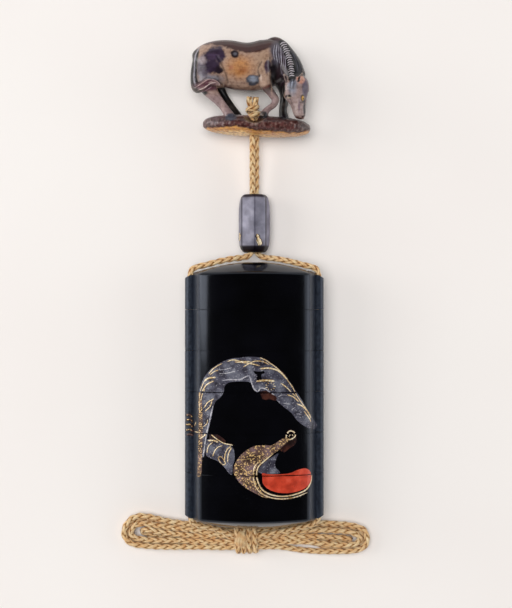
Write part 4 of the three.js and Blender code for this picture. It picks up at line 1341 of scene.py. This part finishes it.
horse = join_forms(
    "horse_on_mound",
    [
        limb(form)
        for form in (
            TRUNK, NECK, HEAD, NEAR_HIND, FAR_HIND, NEAR_FORE, FAR_FORE, TAIL, CREST, *EARS, *BROWS
        )
    ],
)  # fmt: skip
base = join_forms("mound", [mound()])
bpy.ops.object.select_all(action="DESELECT")
bpy.ops.mesh.primitive_cylinder_add(
    vertices=48,
    radius=2.3 * MM,
    depth=0.024,
    location=to_frame((HOLE_X, TOGGLE_Y + 3, HOLE_Z)),
    rotation=(math.pi / 2, 0, 0),
)
bore = bpy.context.object
shape(base, "BOOLEAN", operation="DIFFERENCE", solver="EXACT", object=bore)
bpy.data.objects.remove(bore)
bpy.ops.object.select_all(action="DESELECT")
base.select_set(True)
horse.select_set(True)
bpy.context.view_layer.objects.active = horse
bpy.ops.object.join()
shape(horse, "REMESH", mode="VOXEL", voxel_size=0.28 * MM)
shape(horse, "SMOOTH", factor=0.5, iterations=6)


def carving():
    """The carving's vertices about the toggle's foot, in millimetres, and their normals."""
    count = len(horse.data.vertices)
    spots, normals = np.empty(count * 3), np.empty(count * 3)
    horse.data.vertices.foreach_get("co", spots)
    horse.data.vertices.foreach_get("normal", normals)
    spots = spots.reshape(-1, 3) / MM
    spots[:, 1] -= case_middle / MM + TOGGLE_Y
    return spots, normals.reshape(-1, 3)


def set_carving(spots):
    """Moves the carving's vertices to spots, in millimetres about the toggle's foot."""
    moved = spots.copy()
    moved[:, 1] += case_middle / MM + TOGGLE_Y
    horse.data.vertices.foreach_set("co", (moved * MM).ravel())
    horse.data.update()


def ragged(spots, scale, seed=0.0):
    """Smooth noise from -1 to 1 at each spot, its lumps about 1/scale mm apart."""
    return np.array([noise.noise(Vector(p) * scale + Vector((seed, 0, 0))) for p in spots])


def beside(spots, line):
    """Each spot's distance from the (x, y) line and its place along it, from 0 to 1."""
    way = evenly(spline([(*p, 0) for p in line], 8), 0.3)[0][:, :2]
    near, place = np.full(len(spots), 1e3), np.zeros(len(spots))
    for k, point in enumerate(way):
        far = np.hypot(spots[:, 0] - point[0], spots[:, 1] - point[1])
        closer = far < near
        near[closer], place[closer] = far[closer], k / len(way)
    return near, place


spots, normals = carving()
wobble = ragged(spots, 0.45) + 0.5 * ragged(spots, 1.3, 9)
facing = np.clip(normals[:, 2] * 3, 0, 1)  # the near side only
on_mound = np.clip((6.4 - spots[:, 1]) / 0.8, 0, 1)
CREASES = [  # width, depth, points: the folds and muscle lines cut with a gouge
    (0.5, 0.35, [(-9.6, 18.4), (-10.4, 21.5), (-12, 24.8), (-13.6, 27.5)]),
    (0.5, 0.4, [(5.6, 26.8), (5.4, 23.5), (6.2, 20), (7.4, 16.5)]),
    (0.4, 0.3, [(1.8, 20.5), (1.4, 22.8), (2.6, 25.4)]),
    (0.35, 0.4, [(16.5, 10.6), (17.4, 10.5), (18.1, 11.2)]),
    (0.3, 0.35, [(13.9, 5.6), (15.2, 5.3), (16.6, 4.9)]),
    (0.5, 0.4, [(12.6, 14.6), (12.9, 11), (13.9, 8)]),
    (0.35, 0.5, [(17.3, 5.6), (17.9, 5.9)]),
    (0.45, 0.5, [(15.7, 18.2), (16.2, 19.4)]),
    (0.3, 0.4, [(11.6, 18.6), (11.1, 19.7)]),
    (0.4, 0.3, [(-17.5, 17.6), (-14.5, 19.2), (-11.4, 17.6)]),
    (0.35, 0.25, [(-20.2, 16.2), (-17.4, 17.1), (-14.2, 17.4)]),
]
push = 0.16 * on_mound * ragged(spots, 0.9, 4) + 0.1 * on_mound * ragged(spots, 2.2, 5)
for width, deep, line in CREASES:
    push -= deep * facing * np.exp(-((beside(spots, line)[0] / width) ** 2))
set_carving(spots + normals * push[:, None])
spots, normals = carving()

# Where the surface dips below its surroundings the stain gathers, darkened further by painted
# shade, and where it stands out the polish has worn it pale.
edges = np.empty(len(horse.data.edges) * 2, int)
horse.data.edges.foreach_get("vertices", edges)
edges = edges.reshape(-1, 2)
around = np.bincount(edges.ravel(), minlength=len(spots))[:, None]
soft = spots
for _ in range(14):
    total = np.zeros_like(soft)
    for k in range(3):
        total[:, k] = np.bincount(edges[:, 0], soft[edges[:, 1], k], len(spots))
        total[:, k] += np.bincount(edges[:, 1], soft[edges[:, 0], k], len(spots))
    soft = 0.5 * soft + 0.5 * total / around
hollow = ((soft - spots) * normals).sum(1)

colours = np.tile(linear("A98C7A")[:3], (len(spots), 1))


def stain(mask, code):
    """Washes a colour over the carving, as strongly as the mask says: stains, painted shade and
    painted highlights alike.
    """
    colours[:] += (np.array(linear(code)[:3]) - colours) * np.clip(mask, 0, 1)[:, None]


def patch(x, y, wide, high, ragging=0.3, softness=0.35):
    """A mask: a ragged oval about (x, y), seen from the front."""
    away = np.hypot((spots[:, 0] - x) / wide, (spots[:, 1] - y) / high) + ragging * wobble
    return np.clip((1 + softness / 2 - away) / softness, 0, 1)


def trail(line, width, softness=0.5):
    """A mask: a band along an (x, y) line, seen from the front."""
    away = beside(spots, line)[0] / width
    return np.clip((1 + softness / 2 - away) / softness, 0, 1)


flank_x, flank_y = spots[:, 0], spots[:, 1]
BACK_LINE = [
    (-20, 33), (-16.5, 32.4), (-10.6, 31.2), (-6.1, 29.8), (-1.7, 28.8), (2.2, 29.6),
    (6.5, 31.2), (9, 32.5),
]  # fmt: skip
back_edge = np.interp(flank_x, [p[0] for p in BACK_LINE], [p[1] for p in BACK_LINE])
stain(patch(-5.2, 23.4, 4.6, 3.4, 0.2, 1.1) * 0.9, "B57C45")
stain(patch(-4.0, 22.4, 1.9, 1.0, 0.3, 0.9) * 0.7, "8A4E2A")
stain(patch(-8.3, 23.4, 0.9, 0.8, 0.3, 0.8) * 0.6, "9A5A44")
stain(patch(3.4, 25.5, 3.4, 4.4, 0.2, 1.0) * 0.5, "A3876E")
stain((flank_y - back_edge + 0.6 + 0.7 * wobble) / 0.8, "3A1512")
stain((flank_y - back_edge - 2.2 + 0.5 * wobble) / 1.6 * 0.8, "1C0B0C")
stain(patch(-18.4, 23.4, 2.6, 4.6, 0.15, 0.6), "5E5662")
stain(patch(-18.5, 26.4, 1.3, 1.5, 0.3, 0.8) * 0.9, "94868A")
stain(patch(-15.3, 19.4, 3.8, 1.6, 0.2, 0.8) * 0.9, "767480")
stain(patch(-13.9, 28.0, 3.7, 3.3, 0.3, 0.3), "33253A")
stain(patch(-15.0, 23.8, 2.4, 2.8, 0.35, 0.3), "33253A")
stain(patch(-12.6, 22.6, 1.5, 1.4, 0.35, 0.3), "241923")
stain(patch(-14.6, 27.5, 1.6, 1.2, 0.4, 1.0) * 0.5, "55435F")
stain(patch(-7.0, 28.5, 1.3, 1.4, 0.35, 0.35), "261C22")
stain(patch(-6.9, 28.4, 0.6, 0.5, 0.3, 0.8) * 0.8, "67666F")
stain(patch(-0.6, 19.2, 2.4, 1.9, 0.35, 0.3), "3F414C")
stain(patch(-0.4, 19.6, 1.5, 1.0, 0.4, 0.9) * 0.9, "8C93A2")
stain(patch(4.7, 24.0, 1.2, 2.3, 0.3, 0.3), "4B3B4A")
# Painted shade under the belly: its lower edge is drawn dark red-brown, then near black.
belly = np.interp(flank_x, [-12, -8, -3, 3, 6], [18.6, 17.4, 16.5, 16.8, 18])
inner = (flank_x > -11) & (flank_x < 6) & (flank_y > 12)
stain(inner * (belly - flank_y + 0.4 * wobble) / 0.9, "4E1D14")
stain(inner * (belly - 1.2 - flank_y + 0.3 * wobble) / 0.5, "0C0606")
# Painted shade under the neck and behind the shoulder, drawn near black.
stain(patch(7.6, 22.2, 2.0, 5.2, 0.2, 0.3), "130D12")
stain(patch(8.9, 17.0, 2.5, 5.0, 0.15, 0.3), "090608")
stain(patch(9.0, 21.5, 1.0, 3.0, 0.3, 1.0) * 0.5, "4D3840")
stain(patch(8.4, 29.2, 2.9, 4.4, 0.15, 0.5), "4C4753")
# Painted shade: the far legs, behind the body and near legs, are drawn near black.
far = (spots[:, 2] < 7.4) & (flank_y < 18.5) & (flank_y > 5.2)
stain(far * 1.0, "0D0A0C")
near_leg = (spots[:, 2] > 8.5) & (flank_y < 16.5)
stain(near_leg * (16.5 - flank_y) / 3 * (flank_x < 9) * 0.8, "8D7676")
# A painted highlight down the near hind leg.
stain(near_leg * patch(-11.4, 10.6, 0.7, 4.2, 0.1, 0.8) * 0.6, "B9A09C")
stain(trail([(-21.4, 29.5), (-22.1, 24.6), (-22.1, 20), (-21, 16.2)], 1.5, 0.4), "0A090D")
tail_shine = [(-19.8, 31.2), (-21.2, 28.4), (-21.6, 24), (-21.7, 19.5), (-21.2, 17.2)]
stain(trail(tail_shine, 0.28, 0.8), "9D9AA4")
stain(patch(-16.5, 17.0, 5.2, 2.0, 0.1, 0.4) * (spots[:, 2] > 12.2), "593640")
stain(patch(-19.4, 14.4, 2.6, 0.9, 0.1, 0.4) * (flank_x < -16), "0B0809")
head = trail([(14.9, 19), (15.2, 14), (15.9, 9), (16.5, 5.5)], 4.6, 0.2) * (spots[:, 2] > 10.6)
stain(head * (flank_x > 11), "9A8582")
stain(head * patch(13.6, 16.4, 1.5, 2.8, 0.3, 0.8), "7D808D")
stain(head * patch(18.4, 15.6, 1.3, 3.6, 0.2, 0.5), "4E4054")
# A painted highlight down the bridge of the nose.
stain(head * patch(15.4, 8.4, 1.2, 3.4, 0.2, 0.8) * 0.8, "B3A09C")
stain(head * patch(16.0, 9.4, 0.35, 2.2, 0.2, 0.8) * 0.7, "6A5468")
stain(head * patch(18.0, 8.6, 0.5, 2.6, 0.2, 0.6), "20161C")
stain(head * patch(16.4, 4.4, 1.8, 0.7, 0.3, 0.6), "2C1C1A")
stain(head * patch(17.6, 5.7, 0.5, 0.45, 0.2, 0.5), "100A0C")
stain(head * patch(17.4, 12.1, 0.8, 1.35, 0.1, 0.3), "1A1216")
stain(head * patch(17.35, 12.1, 0.45, 0.8, 0.05, 0.4), "D2A556")
stain(head * patch(17.5, 12.0, 0.18, 0.3, 0.0, 0.3), "1A0E08")
stain(head * patch(12.1, 12.9, 1.1, 0.5, 0.1, 0.4), "161014")
stain(head * patch(12.4, 12.4, 0.7, 0.25, 0.1, 0.5), "C8B49C")
stain(patch(11.4, 19.2, 1.3, 1.6, 0.1, 0.4) * (spots[:, 2] > 15.0), "C3A79C")
stain(patch(16.6, 19.2, 1.5, 1.9, 0.1, 0.4) * (spots[:, 2] > 15.4), "C08A78")
stain(patch(16.0, 18.9, 0.45, 1.0, 0.1, 0.5) * (spots[:, 2] > 15.4), "1E1014")
stain(patch(10.7, 22.3, 1.7, 5.2, 0.2, 0.4) * (flank_y > 17.5), "33262E")
mane = trail(MANE_LINE, 1.5, 0.3)
right_of = flank_x - np.interp(-flank_y, [-p[1] for p in MANE_LINE], [p[0] for p in MANE_LINE])
on_neck = (flank_y > 19.8) & (flank_x > 9)
stain(on_neck * (right_of / 0.6), "12121A")
stain(mane * (flank_y > 17), "08070B")
# The mound, and the band of bare wood left along its lower front edge.
stain(on_mound, "5C3330")
stain(on_mound * patch(-14.5, 4.6, 5.0, 2.2, 0.4, 1.0) * 0.8, "6F5B60")
stain(on_mound * patch(18.6, 2.6, 2.6, 2.4, 0.4, 0.9) * 0.9, "4A3A3A")
stain(on_mound * patch(2, 4.6, 15, 1.0, 0.5, 0.8) * 0.6, "2A0F10")
stain(on_mound * (0.5 + 2.4 * ragged(spots, 1.1, 3)) * 0.45, "2E0D09")
BARE_TOP = [(-17, 2.3), (-14, 2.0), (-6.4, 2.3), (-0.5, 1.0), (6.7, 0.6), (15.6, 0.1), (19.5, 1.4)]
band = np.interp(flank_x, [p[0] for p in BARE_TOP], [p[1] for p in BARE_TOP])
stain(on_mound * (band + 0.7 + 0.5 * wobble - flank_y) / 0.5, "3C120C")
stain(on_mound * (band + 0.35 * wobble - flank_y) / 0.35, "D79B52")
stain(on_mound * (band - 1.0 + 0.6 * wobble - flank_y) / 0.6 * 0.9, "F0C580")
stain(on_mound * (2.4 * ragged(spots, 1.0, 7) - 0.1) * (flank_y < band) * 0.6, "9A5428")
HOOVES = [(-8.3, 5.6, 2.1, "3E404E"), (3.2, 6.4, 1.6, "121018"), (10.9, 6.0, 2.3, "19121C")]
for x, y, wide, code in HOOVES:
    stain(patch(x, y, wide, 1.5, 0.15, 0.4) * (spots[:, 2] > 2), code)
# Painted shade deepens the gathered stain in the hollows; the ridges are worn pale.
stain(hollow / 0.22 * 0.85, "0D0709")
stain(np.clip(-hollow / 0.35 - 0.15, 0, 0.4), "D9C3B4")

# Locks of hair and the ladder of the mane are cut in relief: each a low tapered ridge.
surface = BVHTree.FromPolygons(
    [Vector(p) for p in spots], [tuple(face.vertices) for face in horse.data.polygons]
)


def ridge(line, half, proud):
    """A tapered ridge laid on the carving along an (x, y) line, its crown proud of it."""
    stations = []
    way = evenly(spline([(*p, 0) for p in line], 6), 0.55)[0]
    for k, (x, y, _) in enumerate(way):
        hit = surface.ray_cast(Vector((x, y, 40)), Vector((0, 0, -1)))[0]
        if hit:
            share = min(1, 0.25 + 2.2 * math.sin(math.pi * k / (len(way) - 1)))
            stations.append((x, y, hit.z + proud - half, half * share, half * share))
    return limb(stations, sides=8, per=3)


RIDGES = []  # colour, half width, height, points
mane_way = evenly(spline([(*p, 0) for p in MANE_LINE], 12), 0.85)[0][:, :2]
for k in range(len(mane_way) - 1):
    ahead = mane_way[k + 1] - mane_way[k]
    ahead /= np.hypot(*ahead)
    side = np.array([-ahead[1], ahead[0]])
    middle, half = mane_way[k], 0.95 + 0.2 * math.sin(2.1 * k)
    RIDGES.append(
        (
            "B9B3B9",
            0.27,
            0.3,
            [
                middle - side * half + ahead * 0.25,
                middle - side * 0.2 * half - ahead * 0.12,
                middle + side * half + ahead * 0.2,
            ],
        )
    )
RIDGES += [
    (code, 0.2, 0.1, line)
    for code, line in (
        ("8E8B98", [(7.4, 32.2), (6.9, 29), (7.4, 25.8)]),
        ("A3A1AD", [(8.2, 32.4), (7.8, 29), (8.3, 25.2)]),
        ("77737F", [(8.9, 32.4), (8.7, 29.4), (9.1, 24.6)]),
        ("9C99A6", [(9.5, 31.6), (9.6, 28.4), (9.9, 24)]),
        ("6E6976", [(10.2, 30.2), (10.5, 27.4), (10.6, 23.4)]),
        ("85818E", [(10.9, 28.2), (11.2, 25.6), (11.1, 22.4)]),
        ("6B6570", [(9.4, 25.2), (9.6, 22.8), (10.4, 20.4)]),
        ("3A3A48", [(12.9, 30.2), (14.4, 27.4), (15.3, 24.4), (15.5, 21.4)]),
        ("30303C", [(13.8, 29.2), (15.5, 26.2), (16.4, 23.2), (16.6, 21.4)]),
        ("565A68", [(13.4, 19), (12.9, 17.4), (12.7, 15.6)]),
        ("8F96A6", [(13.8, 19), (13.5, 17.4), (13.3, 15.2)]),
        ("4C4E5C", [(14.2, 19), (14.1, 17.4), (14, 15.6)]),
        ("71717F", [(14.6, 18.8), (14.7, 17.4), (14.9, 16)]),
        ("A98C8C", [(-21.2, 16.2), (-19, 17.4), (-16.4, 18.9), (-13.8, 18.6), (-12.2, 17.2)]),
        ("C9B4B0", [(-20.4, 15.2), (-18, 16), (-15.6, 17.6), (-13.4, 17.8)]),
        ("6E4650", [(-20.9, 15.8), (-18.6, 16.7), (-16.2, 18.3), (-13.6, 18.3)]),
        ("8C7078", [(-19.4, 14.7), (-17.2, 15.4), (-15.2, 16.6)]),
        ("77757F", [(-20.7, 29.2), (-21.3, 25.6), (-21.4, 21.4), (-21.2, 18)]),
    )
]
ridge_spots, ridge_faces, ridge_colours = [], [], []
for code, half, proud, line in RIDGES:
    points, faces = ridge(line, half, proud)
    ridge_faces += [tuple(len(ridge_spots) + i for i in face) for face in faces]
    ridge_spots += [(x, y + TOGGLE_Y, z) for x, y, z in points]
    ridge_colours += [linear(code)[:3]] * len(points)
hair = mesh_piece("hair", ridge_spots, ridge_faces)
bpy.ops.object.select_all(action="DESELECT")
hair.select_set(True)
horse.select_set(True)
bpy.context.view_layer.objects.active = horse
bpy.ops.object.join()
horse.data.polygons.foreach_set("use_smooth", [True] * len(horse.data.polygons))
stained = horse.data.color_attributes.new(name="stain", type="FLOAT_COLOR", domain="POINT")
every = np.vstack([colours, ridge_colours])
stained.data.foreach_set("color", np.hstack([every, np.ones((len(every), 1))]).ravel())

boxwood, tree = material("stained_boxwood")
# Boxwood, stained in patches like a piebald's coat, waxed and polished: the stain has soaked in
# unevenly, dark in the cuts, where painted shade deepens it, and the fine straight grain runs
# along the block. The washed colours also hold painted shade under the body and painted
# highlights.
washed = add(tree, "Attribute", attribute_name="stain")
where = add(tree, "TexCoord", out="Object")
cloud = add(tree, "TexNoise", {"Vector": where, "Scale": 900.0, "Detail": 5.0})
soaked = add(tree, "ValToRGB", {"Fac": cloud}, [(0.3, "CFC6C2"), (0.55, "FFFFFF")])
along = add(tree, "Mapping", {"Vector": where, "Scale": (90, 1500, 1500)})
grain = add(tree, "TexNoise", {"Vector": along, "Scale": 1.0, "Detail": 3.0})
lines = add(tree, "ValToRGB", {"Fac": grain}, [(0.36, "B8A79C"), (0.6, "FFFFFF")])
mottled = add(tree, "Mix", {0: 1.0, 6: washed, 7: soaked}, **MULTIPLY)
colour = add(tree, "Mix", {0: 0.25, 6: mottled, 7: lines}, **MULTIPLY)
polish = add(tree, "MapRange", {"Value": cloud, "To Min": 0.24, "To Max": 0.42})
relief = add(tree, "Bump", {"Height": grain, "Strength": 0.12, "Distance": 0.0001})
shader = add(
    tree,
    "BsdfPrincipled",
    {
        "Base Color": colour,
        "Roughness": polish,
        "Normal": relief,
        "Coat Weight": 0.25,
        "Coat Roughness": 0.2,
    },
)
add(tree, "OutputMaterial", {"Surface": shader})
horse.data.materials.append(boxwood)
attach(horse, "root")
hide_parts("toggle")
